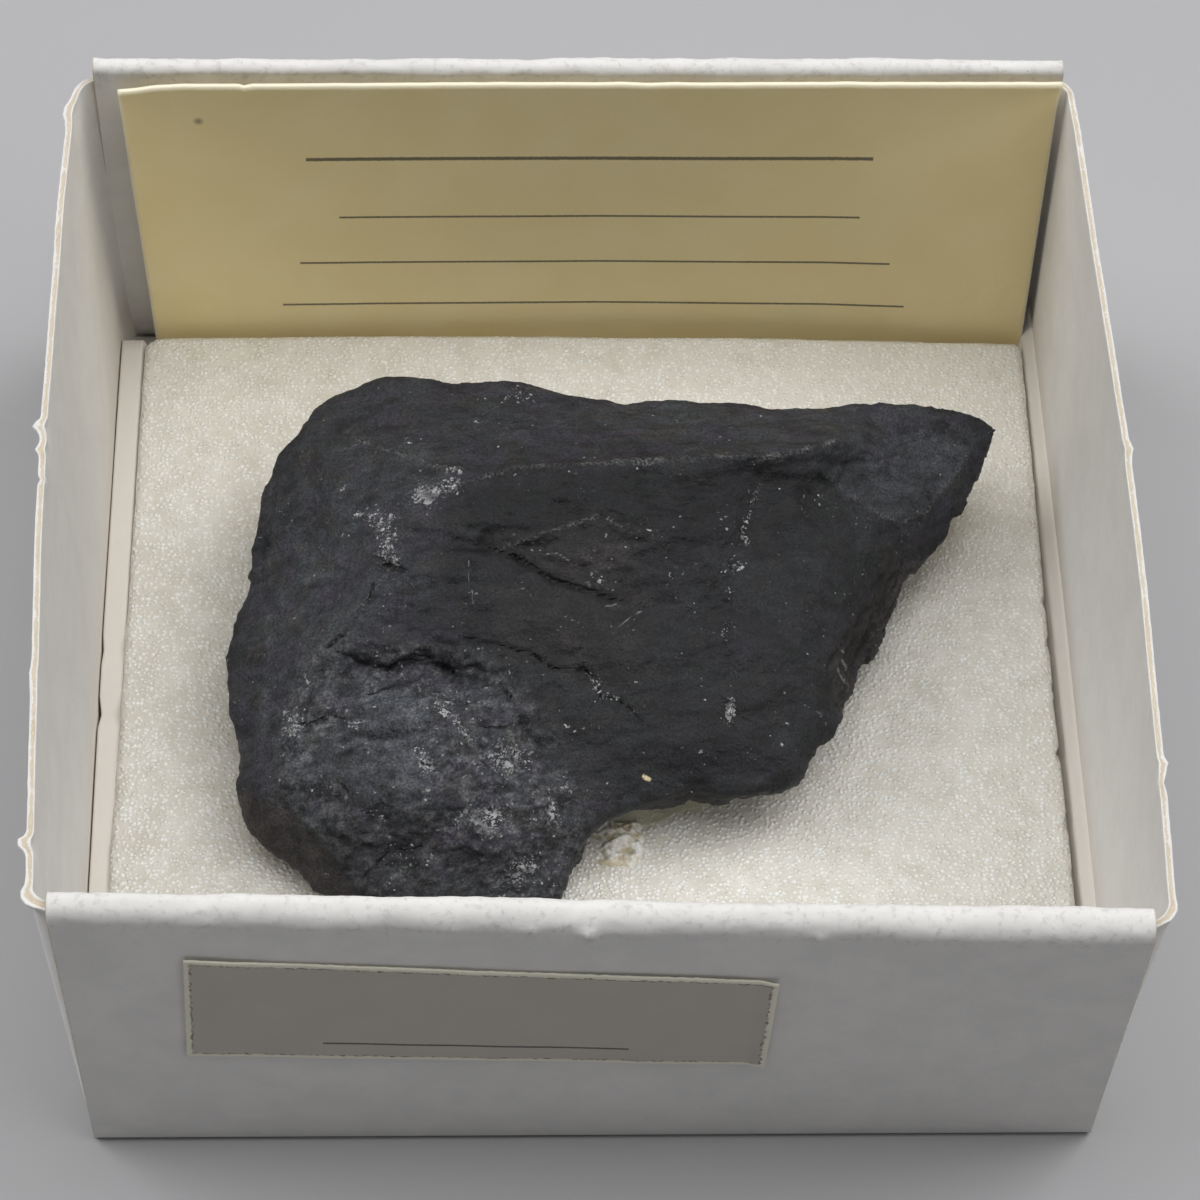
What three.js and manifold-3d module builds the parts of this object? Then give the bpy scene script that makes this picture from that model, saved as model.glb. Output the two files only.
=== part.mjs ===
// A shungite specimen glued on a foam pad in a small folded card tray, with its
// name card standing at the back and a number label on the front wall.
// Millimetres, +Z up, +X right, +Y to the back. The origin is the middle of the
// tray's footprint, on the surface it stands on.
import * as THREE from "three";
import { mergeVertices } from "three/addons/utils/BufferGeometryUtils.js";
import Module from "manifold-3d";

const wasm = await Module();
wasm.setup();

// ---- Driving dimensions -------------------------------------------------
const BOARD = 0.5; // thickness of the tray's card
const PANEL_LEFT = -19.8; // ends of the front panel
const PANEL_RIGHT = 20.2;
const BACK_LEFT = -20.3; // ends of the back panel
const BACK_RIGHT = 20.5;
const FRONT = -20.13; // outer faces of the walls at the floor
const BACK = 21.1;
const LEFT = -20.45;
const RIGHT = 20.85;
const FRONT_RIM = 18.2; // heights of the rolled rims and of the raw side edges
const BACK_RIM = 18.2;
const SIDE_RIM = 17.8;
const FRONT_WALL = 1.2; // double thickness of the rolled walls
const BACK_WALL = 0.95;
const FLAP_TOP = 1.0; // the inner floor flap lies on the floor
const FLAP_LEFT = -19.78;
const FLAP_RIGHT = 20.1;
const SEAM = 0.08; // the folded blank's panels are kept apart by a hair

const PAD_BOTTOM = 1.25;
const PAD_TOP = 3.0;

const CARD_TOP = 17.9;
const CARD_BOTTOM = 1.25;
const CARD_THICKNESS = 0.32;

const LABEL_THICKNESS = 0.14;
const LABEL_GAP = 0.06;

const STONE_BOTTOM = 3.3;
const STONE_EDGE = 0.95; // longest triangle edge on the stone

// ---- Small helpers ------------------------------------------------------
const lerp = THREE.MathUtils.lerp;
const smoothstep = THREE.MathUtils.smoothstep;

// Keeps only the positions of a geometry, with shared vertices merged.
function weld(geometry) {
  const plain = new THREE.BufferGeometry();
  plain.setAttribute("position", geometry.getAttribute("position"));
  if (geometry.index) plain.setIndex(geometry.index);
  return mergeVertices(plain, 1e-4);
}

function toSolid(geometry) {
  const welded = weld(geometry);
  return new wasm.Manifold(
    new wasm.Mesh({
      numProp: 3,
      vertProperties: new Float32Array(welded.attributes.position.array),
      triVerts: new Uint32Array(welded.index.array),
    }),
  );
}

function toGeometry(solid) {
  const mesh = solid.getMesh();
  const positions = new Float32Array(mesh.numVert * 3);
  for (let i = 0; i < mesh.numVert; i++) {
    const start = i * mesh.numProp;
    positions.set(mesh.vertProperties.subarray(start, start + 3), i * 3);
  }
  const geometry = new THREE.BufferGeometry();
  geometry.setAttribute("position", new THREE.BufferAttribute(positions, 3));
  geometry.setIndex(new THREE.BufferAttribute(new Uint32Array(mesh.triVerts), 1));
  geometry.computeVertexNormals();
  return geometry;
}

// Moves every vertex of a geometry by a function that changes a Vector3.
function warp(geometry, move) {
  const position = geometry.getAttribute("position");
  const point = new THREE.Vector3();
  for (let i = 0; i < position.count; i++) {
    point.fromBufferAttribute(position, i);
    move(point);
    position.setXYZ(i, point.x, point.y, point.z);
  }
  return geometry;
}

function shapeOf(points) {
  return new THREE.Shape(points.map(([x, y]) => new THREE.Vector2(x, y)));
}

// A plan outline carried straight up from one height to another.
function upright(points, bottom, top, steps = 1) {
  const geometry = new THREE.ExtrudeGeometry(shapeOf(points), {
    depth: top - bottom,
    steps,
    bevelEnabled: false,
  });
  return geometry.translate(0, 0, bottom);
}

// A section drawn in (y, z), carried along X.
function alongX(section, left, right, steps) {
  const geometry = new THREE.ExtrudeGeometry(shapeOf(section), {
    depth: right - left,
    steps,
    bevelEnabled: false,
  });
  const turn = new THREE.Matrix4().makeBasis(
    new THREE.Vector3(0, 1, 0),
    new THREE.Vector3(0, 0, 1),
    new THREE.Vector3(1, 0, 0),
  );
  return geometry.applyMatrix4(turn).translate(left, 0, 0);
}

// The value at x of a smooth line through hand-set stations [x, value].
function profileAt(stations, x) {
  const last = stations.length - 1;
  if (x <= stations[0][0]) return stations[0][1];
  if (x >= stations[last][0]) return stations[last][1];
  const i = stations.findIndex(([end]) => x < end);
  const [x0, v0] = stations[i - 1];
  const [x1, v1] = stations[i];
  return lerp(v0, v1, smoothstep(x, x0, x1) * 0.5 + ((x - x0) / (x1 - x0)) * 0.5);
}

// ---- Card tray ----------------------------------------------------------
// The tray is one folded blank. Its floor and walls are solids of their own, a seam apart.
// The front panel is a little askew at its foot and leans out to the right at its rim.
const frontLean = (x, rise) => lerp(-0.006 * x, -0.63 - 0.0325 * x, rise);
const backLean = (x, rise) => rise * (0.31 - 0.009 * x);

// The foot of the tray is a little narrower than its rim at the front corners.
const CORNER_DRAW = 0.35; // the side walls draw in towards the front corners of the floor
const CORNER_DIP = 0.45; // the side walls' raw edge dips into the back corners
const frontTaper = (x, rise) => (1 - rise) * (x < 0 ? 0.16 : -0.22);

// How far the raw top edges of the single side walls bow out, front to back.
const LEFT_BOW = [[-20, 0.08], [-13, 0.42], [-4, 0.75], [3, 0.92], [14, 0.92], [18, 0.82], [21, 0.6]];
const RIGHT_BOW = [[-20, 0.15], [-14, 0.43], [-6, 0.55], [2, 0.54], [12, 0.26], [18, 0.1], [21, 0.08]];

function leanWalls(point) {
  const rise = point.z / FRONT_RIM;
  const front = 1 - smoothstep(point.y, -19, -14);
  const back = smoothstep(point.y, 15, 20);
  const side = smoothstep(Math.abs(point.x), 10, 19);
  const lean = front * frontLean(point.x, rise) + back * backLean(point.x, rise);
  point.x += front * side * frontTaper(point.x, rise);
  point.y += lean;
}

function bowSides(point) {
  const rise = Math.pow(point.z / SIDE_RIM, 0.85);
  const side = smoothstep(Math.abs(point.x), 16, 19);
  const bow = point.x < 0 ? -profileAt(LEFT_BOW, point.y) : profileAt(RIGHT_BOW, point.y);
  const corner = (1 - smoothstep(point.y, -20, -16.5)) * (1 - rise);
  point.x += side * (rise * bow - Math.sign(point.x) * corner * CORNER_DRAW);
  point.z -= rise * CORNER_DIP * smoothstep(point.y, 17, 20.5);
  leanWalls(point);
}

// A double wall: two panels joined by a rolled rim, as one section in (y, z).
function rolledSection(outer, inner, rim, foot) {
  const middle = (outer + inner) / 2;
  const radius = (inner - outer) / 2;
  const points = [[outer, foot], [inner, foot]];
  for (const height of [0.25, 0.5, 0.75]) points.push([inner, rim * height]);
  const arcSteps = 8;
  for (let i = 0; i <= arcSteps; i++) {
    const angle = (Math.PI * i) / arcSteps;
    points.push([middle + radius * Math.cos(angle), rim - Math.abs(radius) * (1 - Math.sin(angle))]);
  }
  for (const height of [0.75, 0.5, 0.25]) points.push([outer, rim * height]);
  return outer < inner ? points : points.reverse();
}

// A front or back wall. Grown a little on every side, it cuts its own place free.
function rolledWall(outer, inner, rim, left, right, grow = 0) {
  const away = Math.sign(inner - outer) * grow;
  const section = rolledSection(outer - away, inner + away, rim + grow, -grow);
  return toSolid(warp(alongX(section, left - grow, right + grow, 10), leanWalls));
}

const frontWall = (grow) => rolledWall(FRONT, FRONT + FRONT_WALL, FRONT_RIM, PANEL_LEFT, PANEL_RIGHT, grow);
const backWall = (grow) => rolledWall(BACK, BACK - BACK_WALL, BACK_RIM, BACK_LEFT, BACK_RIGHT, grow);

// A side wall's plan: a straight strip with a round bend at each end.
const BEND = 1.3;
const BEND_FRONT = FRONT + 0.42 + BEND; // where the bends start
const BEND_BACK = BACK - 0.42 - BEND;

function sideWallPlan(outerX, towardsMiddle) {
  const centreX = outerX + towardsMiddle * BEND;
  const bendAround = (radius, centreY, from, to) => {
    const steps = 4;
    const arc = [];
    for (let i = 0; i <= steps; i++) {
      const angle = lerp(from, to, i / steps);
      arc.push([centreX - towardsMiddle * radius * Math.cos(angle), centreY + radius * Math.sin(angle)]);
    }
    return arc;
  };
  const ribbon = (radius) => {
    const points = bendAround(radius, BEND_FRONT, -Math.PI / 2, 0);
    for (let y = -16; y <= 16; y += 4) points.push([outerX + towardsMiddle * (BEND - radius), y]);
    points.push(...bendAround(radius, BEND_BACK, 0, Math.PI / 2));
    return points;
  };
  const outline = [...ribbon(BEND), ...ribbon(BEND - BOARD).reverse()];
  return towardsMiddle > 0 ? outline.reverse() : outline;
}

function makeSideWall(outerX, towardsMiddle) {
  const strip = toSolid(warp(upright(sideWallPlan(outerX, towardsMiddle), 0, SIDE_RIM, 4), bowSides));
  const [kept, ...crumbs] = strip
    .subtract(frontWall(SEAM))
    .subtract(backWall(SEAM))
    .decompose()
    .sort((a, b) => b.volume() - a.volume());
  crumbs.forEach((crumb) => crumb.delete());
  return toGeometry(kept);
}

// The floor and the inner flap that lies on it, fitted between the walls.
function makeFloor() {
  const front = FRONT + FRONT_WALL + SEAM;
  const back = BACK - BACK_WALL - SEAM;
  const corner = 0.5; // the front corners are drawn in, as the walls are there
  const bend = 0.5; // the back corners clear the side walls' bends
  const outline = (left, right) => [
    [left + corner, front],
    [right - corner, front],
    [right, BEND_FRONT + 2],
    [right, BEND_BACK],
    [right - bend, back],
    [left + bend, back],
    [left, BEND_BACK],
    [left, BEND_FRONT + 2],
  ];
  const bite = 0.1; // the flap sinks this far into the floor, so that they join
  const floor = upright(outline(LEFT + BOARD + SEAM, RIGHT - BOARD - SEAM), 0, BOARD);
  const flap = upright(outline(FLAP_LEFT, FLAP_RIGHT), BOARD - bite, FLAP_TOP);
  return toGeometry(toSolid(warp(floor, leanWalls)).add(toSolid(warp(flap, leanWalls))));
}

// ---- Foam pad, cards and glue -------------------------------------------
// Cut by hand: the back edge leaves room for the name card, a little askew.
const PAD_OUTLINE = [
  [-19.15, -18.2], [-18.9, -18.55], [19.5, -18.6], [19.85, -18.3], [19.95, -8.0],
  [19.9, -1.5], [20.0, 8.0], [20.05, 17.6], [19.8, 17.85], [8.0, 18.3], [-8.0, 18.55],
  [-18.5, 18.5], [-18.85, 18.1], [-18.9, 8.0], [-19.0, -6.0],
];

function makePad() {
  const bevel = 0.22;
  const geometry = new THREE.ExtrudeGeometry(shapeOf(PAD_OUTLINE), {
    depth: PAD_TOP - PAD_BOTTOM - 2 * bevel,
    bevelEnabled: true,
    bevelThickness: bevel,
    bevelSize: bevel,
    bevelOffset: -bevel,
    bevelSegments: 2,
  });
  return toGeometry(toSolid(geometry.translate(0, 0, PAD_BOTTOM + bevel)));
}

// A thin sheet between two edges, each a list of points from left to right.
function makeSheet(lower, upper, offset) {
  const positions = [];
  const count = lower.length;
  for (const shift of [new THREE.Vector3(), offset])
    for (const edge of [lower, upper])
      for (const point of edge) positions.push(...new THREE.Vector3(...point).add(shift));
  const front = [0, count];
  const back = [2 * count, 3 * count];
  const index = [];
  const quad = (a, b, c, d) => index.push(a, b, c, a, c, d);
  for (let i = 0; i < count - 1; i++) {
    quad(front[0] + i, front[0] + i + 1, front[1] + i + 1, front[1] + i);
    quad(back[0] + i + 1, back[0] + i, back[1] + i, back[1] + i + 1);
    quad(front[1] + i, front[1] + i + 1, back[1] + i + 1, back[1] + i);
    quad(back[0] + i, back[0] + i + 1, front[0] + i + 1, front[0] + i);
  }
  quad(back[0], front[0], front[1], back[1]);
  quad(front[0] + count - 1, back[0] + count - 1, back[1] + count - 1, front[1] + count - 1);
  const geometry = new THREE.BufferGeometry();
  geometry.setAttribute("position", new THREE.Float32BufferAttribute(positions, 3));
  geometry.setIndex(index);
  return toGeometry(toSolid(geometry));
}

function makeNameCard() {
  const foot = [[-18.8, 18.98], [-9, 19.08], [1, 19.08], [11, 18.85], [20.15, 18.3]];
  const head = [[-19.25, 19.85], [-9.5, 19.85], [0.8, 19.83], [10.8, 19.78], [20.32, 19.7]];
  const lower = foot.map(([x, y]) => [x, y, CARD_BOTTOM]);
  const upper = head.map(([x, y]) => [x, y, CARD_TOP]);
  return makeSheet(lower, upper, new THREE.Vector3(0, CARD_THICKNESS, 0));
}

// The outer face of the front wall at a place on it.
function frontFace(x, z) {
  return FRONT + frontLean(x, z / FRONT_RIM);
}

function makeNumberLabel() {
  const onWall = ([x, z]) => [x, frontFace(x, z) - LABEL_GAP - LABEL_THICKNESS, z];
  const lower = [[-15.45, 7.7], [-8.1, 7.5], [-0.7, 7.3], [6.6, 7.1]].map(onWall);
  const upper = [[-15.05, 15.15], [-7.8, 14.8], [-0.5, 14.45], [6.8, 14.1]].map(onWall);
  return makeSheet(lower, upper, new THREE.Vector3(0, LABEL_THICKNESS, 0));
}

// A squeezed-out puddle of glue, domed between its rim and a low ridge.
function makeGlue() {
  const rim = [
    [0.3, -9.2], [0.95, -9.45], [1.7, -9.0], [2.4, -8.3], [2.65, -7.5], [2.2, -6.9], [1.2, -6.7],
    [0.5, -7.0], [0.2, -7.8], [0.15, -8.6],
  ];
  const bottom = PAD_TOP + 0.2;
  const top = bottom + 0.6;
  const middle = [1.3, -8.0];
  const levels = [[1, bottom], [1.02, bottom + 0.15], [0.84, bottom + 0.42], [0.5, top]];
  const positions = [...middle, bottom];
  for (const [scale, z] of levels)
    for (const [x, y] of rim) positions.push(lerp(middle[0], x, scale), lerp(middle[1], y, scale), z);
  positions.push(...middle, top + 0.08);
  const index = [];
  const count = rim.length;
  const last = 1 + levels.length * count;
  for (let i = 0; i < count; i++) {
    const next = (i + 1) % count;
    index.push(0, 1 + next, 1 + i);
    for (let level = 0; level < levels.length - 1; level++) {
      const low = 1 + level * count;
      const high = low + count;
      index.push(low + i, low + next, high + next, low + i, high + next, high + i);
    }
    index.push(last - count + i, last - count + next, last);
  }
  const geometry = new THREE.BufferGeometry();
  geometry.setAttribute("position", new THREE.Float32BufferAttribute(positions, 3));
  geometry.setIndex(index);
  return toGeometry(toSolid(geometry));
}

// ---- Shungite stone -----------------------------------------------------
// The belt is the stone's widest line, walked clockwise seen from above.
const BELT = {
  leftFlank: [[-14.85, -0.9, 6.2], [-14.55, 0.5, 6.4], [-13.8, 2.2, 6.8], [-13.7, 4.5, 7.2]],
  backLeftShoulder: [[-13.4, 6.6, 7.6], [-12.4, 8.7, 8.0], [-10.85, 10.65, 8.6], [-8.2, 11.5, 9.2]],
  backEdge: [
    [-5.9, 11.1, 9.3], [-4.2, 11.0, 9.3], [-2.6, 11.0, 9.3], [-0.7, 10.45, 9.2], [1.9, 9.85, 9.2],
    [4.0, 10.0, 9.2], [6.1, 9.85, 9.2], [8.0, 9.65, 9.1], [10.0, 9.6, 9.0], [11.8, 10.1, 8.8],
  ],
  tip: [
    [13.5, 10.3, 8.6], [15.9, 10.4, 8.0], [17.25, 10.35, 7.6], [18.25, 10.0, 7.0], [17.5, 8.65, 6.8],
  ],
  rightFlank: [
    [16.5, 7.0, 6.5], [15.9, 5.6, 6.2], [15.1, 4.4, 6.0], [14.4, 3.8, 5.8], [13.7, 3.0, 5.4],
    [13.2, 2.0, 5.2], [12.9, 0.9, 5.0], [12.5, 0.0, 5.0], [11.8, -0.7, 5.0], [11.3, -1.8, 5.2],
    [10.7, -2.95, 5.6], [10.75, -4.6, 6.0], [10.0, -5.4, 6.2], [9.4, -5.9, 6.2], [9.0, -6.9, 6.2],
  ],
  frontRightEdge: [
    [8.6, -7.5, 6.2], [7.4, -7.9, 6.2], [6.2, -8.1, 6.2], [4.6, -7.8, 6.2], [2.6, -8.3, 6.2],
    [1.0, -8.85, 6.2], [-0.05, -9.2, 6.0],
  ],
  frontLobe: [
    [-0.35, -9.7, 5.4], [-0.65, -10.6, 5.0], [-1.25, -11.9, 4.6], [-2.5, -12.9, 4.2],
    [-4.7, -13.6, 4.0], [-7.5, -13.4, 4.0], [-9.4, -12.1, 4.0],
  ],
  frontLeftFace: [
    [-10.65, -10.8, 4.1], [-11.7, -10.35, 4.2], [-12.4, -9.6, 4.4], [-13.25, -9.1, 4.6],
    [-14.0, -8.2, 5.0], [-14.0, -7.2, 5.4], [-14.05, -6.2, 5.7], [-14.1, -4.85, 5.8],
    [-14.5, -3.2, 6.0],
  ],
};

// Ridges, terraces and hollows of the upper side, as points on the broken faces.
const RELIEF = {
  crest: [
    [-4.6, 4.3, 11.0], [-1.3, 4.6, 11.3], [2.0, 4.8, 11.4], [4.9, 5.0, 11.4], [7.8, 5.4, 11.3],
    [9.1, 5.8, 11.0], [10.7, 6.5, 10.4], [11.7, 7.2, 9.7],
  ],
  backBevel: [[0.8, 7.4, 10.4], [5.8, 7.4, 10.4], [13.6, 8.0, 8.5], [15.8, 8.6, 7.8]],
  upperLeftFace: [
    [-11.7, 6.8, 8.6], [-9.6, 7.7, 9.4], [-9.4, 4.4, 9.7], [-6.7, 8.3, 10.0], [-6.7, 4.7, 10.6],
    [-3.3, 7.7, 10.4], [-11.7, 2.6, 8.0], [-12.2, -1.3, 7.8], [-12.8, -4.3, 7.2],
  ],
  leftShoulder: [[-8.3, 1.2, 9.9], [-9.5, -1.6, 9.4], [-10.5, -3.5, 9.0], [-11.1, -5.6, 8.4], [-11.5, -7.1, 7.8]],
  tipScoop: [
    [8.1, 4.8, 10.3], [9.1, 4.7, 9.5], [10.2, 5.1, 9.0], [11.3, 6.1, 9.0], [12.8, 6.0, 8.2],
    [14.6, 7.1, 7.8],
  ],
  scoopRim: [
    [11.2, 4.3, 8.7], [12.0, 3.8, 8.4], [13.2, 4.2, 8.0], [14.4, 5.4, 7.8], [15.8, 6.9, 7.5],
    [16.5, 8.1, 7.3],
  ],
  belowScoop: [
    [9.8, 2.5, 9.2], [11.3, 2.6, 8.2], [12.4, 2.7, 7.6], [13.4, 3.7, 7.1], [14.5, 4.8, 6.8],
    [15.4, 5.9, 6.8],
  ],
  rightBrow: [
    [12.6, 2.0, 7.0], [12.0, 0.8, 7.3], [11.2, -0.2, 7.6], [10.6, -1.4, 7.8], [10.3, -2.2, 7.8],
    [10.0, -3.3, 7.6], [10.0, -4.2, 7.1], [9.5, -5.1, 7.0], [8.3, -6.7, 7.0],
  ],
  centralFace: [
    [-4.2, 0.8, 10.4], [0.7, 1.5, 10.5], [5.6, 0.9, 10.1], [9.8, 1.5, 9.2], [-1.0, -2.0, 9.8],
    [3.9, -3.2, 9.0], [8.0, -2.6, 8.8], [2.2, -6.3, 7.9], [6.2, -6.2, 7.6], [-0.2, -4.8, 8.6],
  ],
  middleStep: [
    [-6.2, 1.9, 10.3], [-7.5, -0.6, 9.6], [-5.4, -1.2, 9.8], [-9.4, -2.7, 9.1], [-7.4, -2.8, 9.2],
    [-5.3, -2.7, 9.4],
  ],
  lobeBrow: [
    [-9.3, -3.2, 8.2], [-7.3, -3.3, 8.0], [-5.0, -3.2, 8.6], [-3.4, -3.7, 8.8], [-2.2, -5.3, 8.2],
    [-1.4, -6.7, 7.6], [-1.0, -8.1, 7.0],
  ],
  roughLobe: [
    [-9.9, -5.9, 8.2], [-7.4, -5.9, 8.5], [-4.6, -5.9, 8.8], [-6.6, -8.3, 8.2], [-3.4, -8.2, 8.4],
    [-1.9, -8.9, 7.6], [-9.4, -8.6, 7.2], [-6.3, -10.0, 6.8], [-3.1, -10.3, 6.8], [-8.3, -10.9, 5.6],
    [-5.1, -11.5, 5.4], [-2.3, -11.3, 5.4],
  ],
  frontLeftEdge: [
    [-13.3, -7.7, 6.6], [-12.7, -8.2, 6.7], [-11.8, -8.8, 6.6], [-11.1, -9.5, 6.3],
    [-10.3, -10.1, 6.0], [-9.6, -11.0, 5.4], [-12.4, -9.1, 5.6], [-11.4, -9.9, 5.1],
  ],
};

// How far the underside draws in below each stretch of the belt.
const UNDERCUT = {
  leftFlank: 0.12,
  backLeftShoulder: 0.12,
  backEdge: 0.1,
  tip: 0.26,
  rightFlank: 0.3,
  frontRightEdge: 0.34,
  frontLobe: 0.1,
  frontLeftFace: 0.1,
};

const STONE_AXIS = new THREE.Vector2(-1, 0);

// Delaunay triangles of points seen from above, by adding one point at a time.
function triangulate(points) {
  const far = 1000;
  const all = [...points, [-far, -far], [far, -far], [0, far]];
  const circle = (triangle) => {
    const [[ax, ay], [bx, by], [cx, cy]] = triangle.map((i) => all[i]);
    const d = 2 * (ax * (by - cy) + bx * (cy - ay) + cx * (ay - by));
    const a2 = ax * ax + ay * ay;
    const b2 = bx * bx + by * by;
    const c2 = cx * cx + cy * cy;
    const x = (a2 * (by - cy) + b2 * (cy - ay) + c2 * (ay - by)) / d;
    const y = (a2 * (cx - bx) + b2 * (ax - cx) + c2 * (bx - ax)) / d;
    return { triangle, x, y, r2: (ax - x) ** 2 + (ay - y) ** 2 };
  };
  const n = points.length;
  let circles = [circle([n, n + 1, n + 2])];
  points.forEach(([x, y], i) => {
    const hit = circles.filter((c) => (x - c.x) ** 2 + (y - c.y) ** 2 < c.r2);
    const rim = new Map();
    for (const { triangle: [a, b, c] } of hit)
      for (const [from, to] of [[a, b], [b, c], [c, a]])
        if (!rim.delete(to + " " + from)) rim.set(from + " " + to, [from, to]);
    circles = circles.filter((c) => !hit.includes(c));
    for (const [from, to] of rim.values()) circles.push(circle([from, to, i]));
  });
  return circles.map((c) => c.triangle).filter((t) => t.every((i) => i < n));
}

function insideOutline(x, y, outline) {
  let inside = false;
  outline.forEach(([ax, ay], i) => {
    const [bx, by] = outline[(i + 1) % outline.length];
    if (ay > y !== by > y && x < ((bx - ax) * (y - ay)) / (by - ay) + ax) inside = !inside;
  });
  return inside;
}

// The coarse stone: broken faces on top, a drawn-in flank, a flat bearing face.
function coarseStone() {
  const belt = Object.values(BELT).flat();
  const draws = Object.entries(BELT).flatMap(([name, points]) => points.map(() => UNDERCUT[name]));
  const count = belt.length;
  const upper = [...belt, ...Object.values(RELIEF).flat()];
  const positions = upper.map((point) => new THREE.Vector3(...point));
  const triangles = triangulate(upper).filter((triangle) => {
    const [x, y] = [0, 1].map((axis) => triangle.reduce((sum, i) => sum + upper[i][axis], 0) / 3);
    return insideOutline(x, y, belt);
  });
  const rings = [[0.2, 0.55], [0.65, 0.2], [1, 0]];
  let above = belt.map((_, i) => i);
  for (const [share, height] of rings) {
    const ring = belt.map(([x, y, z], i) => {
      const draw = 1 - draws[i] * share;
      positions.push(
        new THREE.Vector3(
          lerp(STONE_AXIS.x, x, draw),
          lerp(STONE_AXIS.y, y, draw),
          lerp(STONE_BOTTOM, z, height),
        ),
      );
      return positions.length - 1;
    });
    for (let i = 0; i < count; i++) {
      const next = (i + 1) % count;
      triangles.push([above[i], above[next], ring[next]], [above[i], ring[next], ring[i]]);
    }
    above = ring;
  }
  const foot = above.map((i) => new THREE.Vector2(positions[i].x, positions[i].y));
  for (const triangle of THREE.ShapeUtils.triangulateShape(foot, [])) {
    const facesDown = THREE.ShapeUtils.isClockWise(triangle.map((i) => foot[i]));
    const corners = triangle.map((i) => above[i]);
    triangles.push(facesDown ? corners : corners.reverse());
  }
  return { positions, triangles };
}

// Splits edges at their midpoints until each is shorter than its limit.
function refine({ positions, triangles }, limitAt) {
  const middle = new THREE.Vector3();
  for (let round = 0; round < 8; round++) {
    const midpoints = new Map();
    const split = (a, b) => {
      const key = Math.min(a, b) + " " + Math.max(a, b);
      if (!midpoints.has(key)) {
        middle.addVectors(positions[a], positions[b]).multiplyScalar(0.5);
        const long = positions[a].distanceTo(positions[b]) > limitAt(middle);
        midpoints.set(key, long ? positions.push(middle.clone()) - 1 : -1);
      }
      return midpoints.get(key);
    };
    const next = [];
    for (const [a, b, c] of triangles) {
      const [ab, bc, ca] = [split(a, b), split(b, c), split(c, a)];
      const cut = [ab, bc, ca].filter((i) => i >= 0).length;
      if (cut === 0) next.push([a, b, c]);
      else if (cut === 3) next.push([a, ab, ca], [ab, b, bc], [ca, bc, c], [ab, bc, ca]);
      else {
        const turns = [[a, b, c, ab, bc, ca], [b, c, a, bc, ca, ab], [c, a, b, ca, ab, bc]];
        const [p, q, r, pq, qr] = turns.find((t) => t[3] >= 0 && (cut === 1 || t[4] >= 0));
        if (cut === 1) next.push([p, pq, r], [pq, q, r]);
        else next.push([pq, q, qr], [p, pq, qr], [p, qr, r]);
      }
    }
    if (next.length === triangles.length) break;
    triangles = next;
  }
  return { positions, triangles };
}

// Draws each vertex towards the middle of its neighbours, to soften the edges.
function relax({ positions, triangles }, rounds, pull) {
  const neighbours = positions.map(() => new Set());
  for (const [a, b, c] of triangles) {
    neighbours[a].add(b).add(c);
    neighbours[b].add(a).add(c);
    neighbours[c].add(a).add(b);
  }
  for (let round = 0; round < rounds; round++) {
    const means = neighbours.map((set) => {
      const mean = new THREE.Vector3();
      for (const i of set) mean.add(positions[i]);
      return mean.divideScalar(set.size);
    });
    positions.forEach((point, i) => point.lerp(means[i], pull));
  }
}

// Smooth repeatable noise between -1 and 1.
function noise(x, y, z) {
  const hash = (i, j, k) => {
    const s = Math.sin(i * 127.1 + j * 311.7 + k * 74.7) * 43758.5453;
    return 2 * (s - Math.floor(s)) - 1;
  };
  const [i, j, k] = [x, y, z].map(Math.floor);
  const [u, v, w] = [x - i, y - j, z - k].map((t) => t * t * (3 - 2 * t));
  const row = (dj, dk) => lerp(hash(i, j + dj, k + dk), hash(i + 1, j + dj, k + dk), u);
  return lerp(lerp(row(0, 0), row(1, 0), v), lerp(row(0, 1), row(1, 1), v), w);
}

// Cracks and steps in the broken faces: plan points, half width and depth.
const CRACKS = [
  { path: [[-4.6, 1.9], [-2.9, 1.5], [-1.6, 0.9], [-0.1, 0.2], [1.4, -0.1]], width: 0.45, depth: 0.3 },
  { path: [[-2.4, -2.6], [-1.1, -3.1], [0.5, -3.6], [1.1, -4.2], [2.5, -5.5]], width: 0.4, depth: 0.25 },
  { path: [[6.9, 4.8], [7.0, 3.0], [6.1, 1.4], [5.7, -0.6], [5.6, -3.0], [5.9, -5.4]], width: 0.4, depth: 0.15 },
];

function distanceToPath(x, y, path) {
  let least = Infinity;
  for (let i = 0; i < path.length - 1; i++) {
    const [ax, ay] = path[i];
    const [dx, dy] = [path[i + 1][0] - ax, path[i + 1][1] - ay];
    const along = THREE.MathUtils.clamp(((x - ax) * dx + (y - ay) * dy) / (dx * dx + dy * dy), 0, 1);
    least = Math.min(least, Math.hypot(x - ax - along * dx, y - ay - along * dy));
  }
  return least;
}

// Lumps and pits: strong on the rough front lobe, faint on the smooth faces.
function roughen(point, normal) {
  const behindLobe = smoothstep(point.y, -4.2, -2.8);
  const besideLobe = smoothstep(point.x, -2.2, -0.6) + 1 - smoothstep(point.x, -12.4, -10.8);
  const lobe = (1 - behindLobe) * (1 - besideLobe);
  const flank = 1 - smoothstep(normal.z, -0.1, 0.4);
  const strength = 0.1 + 0.28 * lobe + 0.2 * flank;
  const lumps = noise(point.x * 0.75, point.y * 0.75, point.z * 0.9);
  const pits = noise(point.x * 1.6 + 9, point.y * 1.6, point.z * 1.6);
  let move = strength * (lumps + 0.5 * pits);
  if (normal.z > 0.3)
    for (const { path, width, depth } of CRACKS)
      move -= depth * (1 - smoothstep(distanceToPath(point.x, point.y, path), 0, width * 2));
  point.addScaledVector(normal, move);
}

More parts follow.
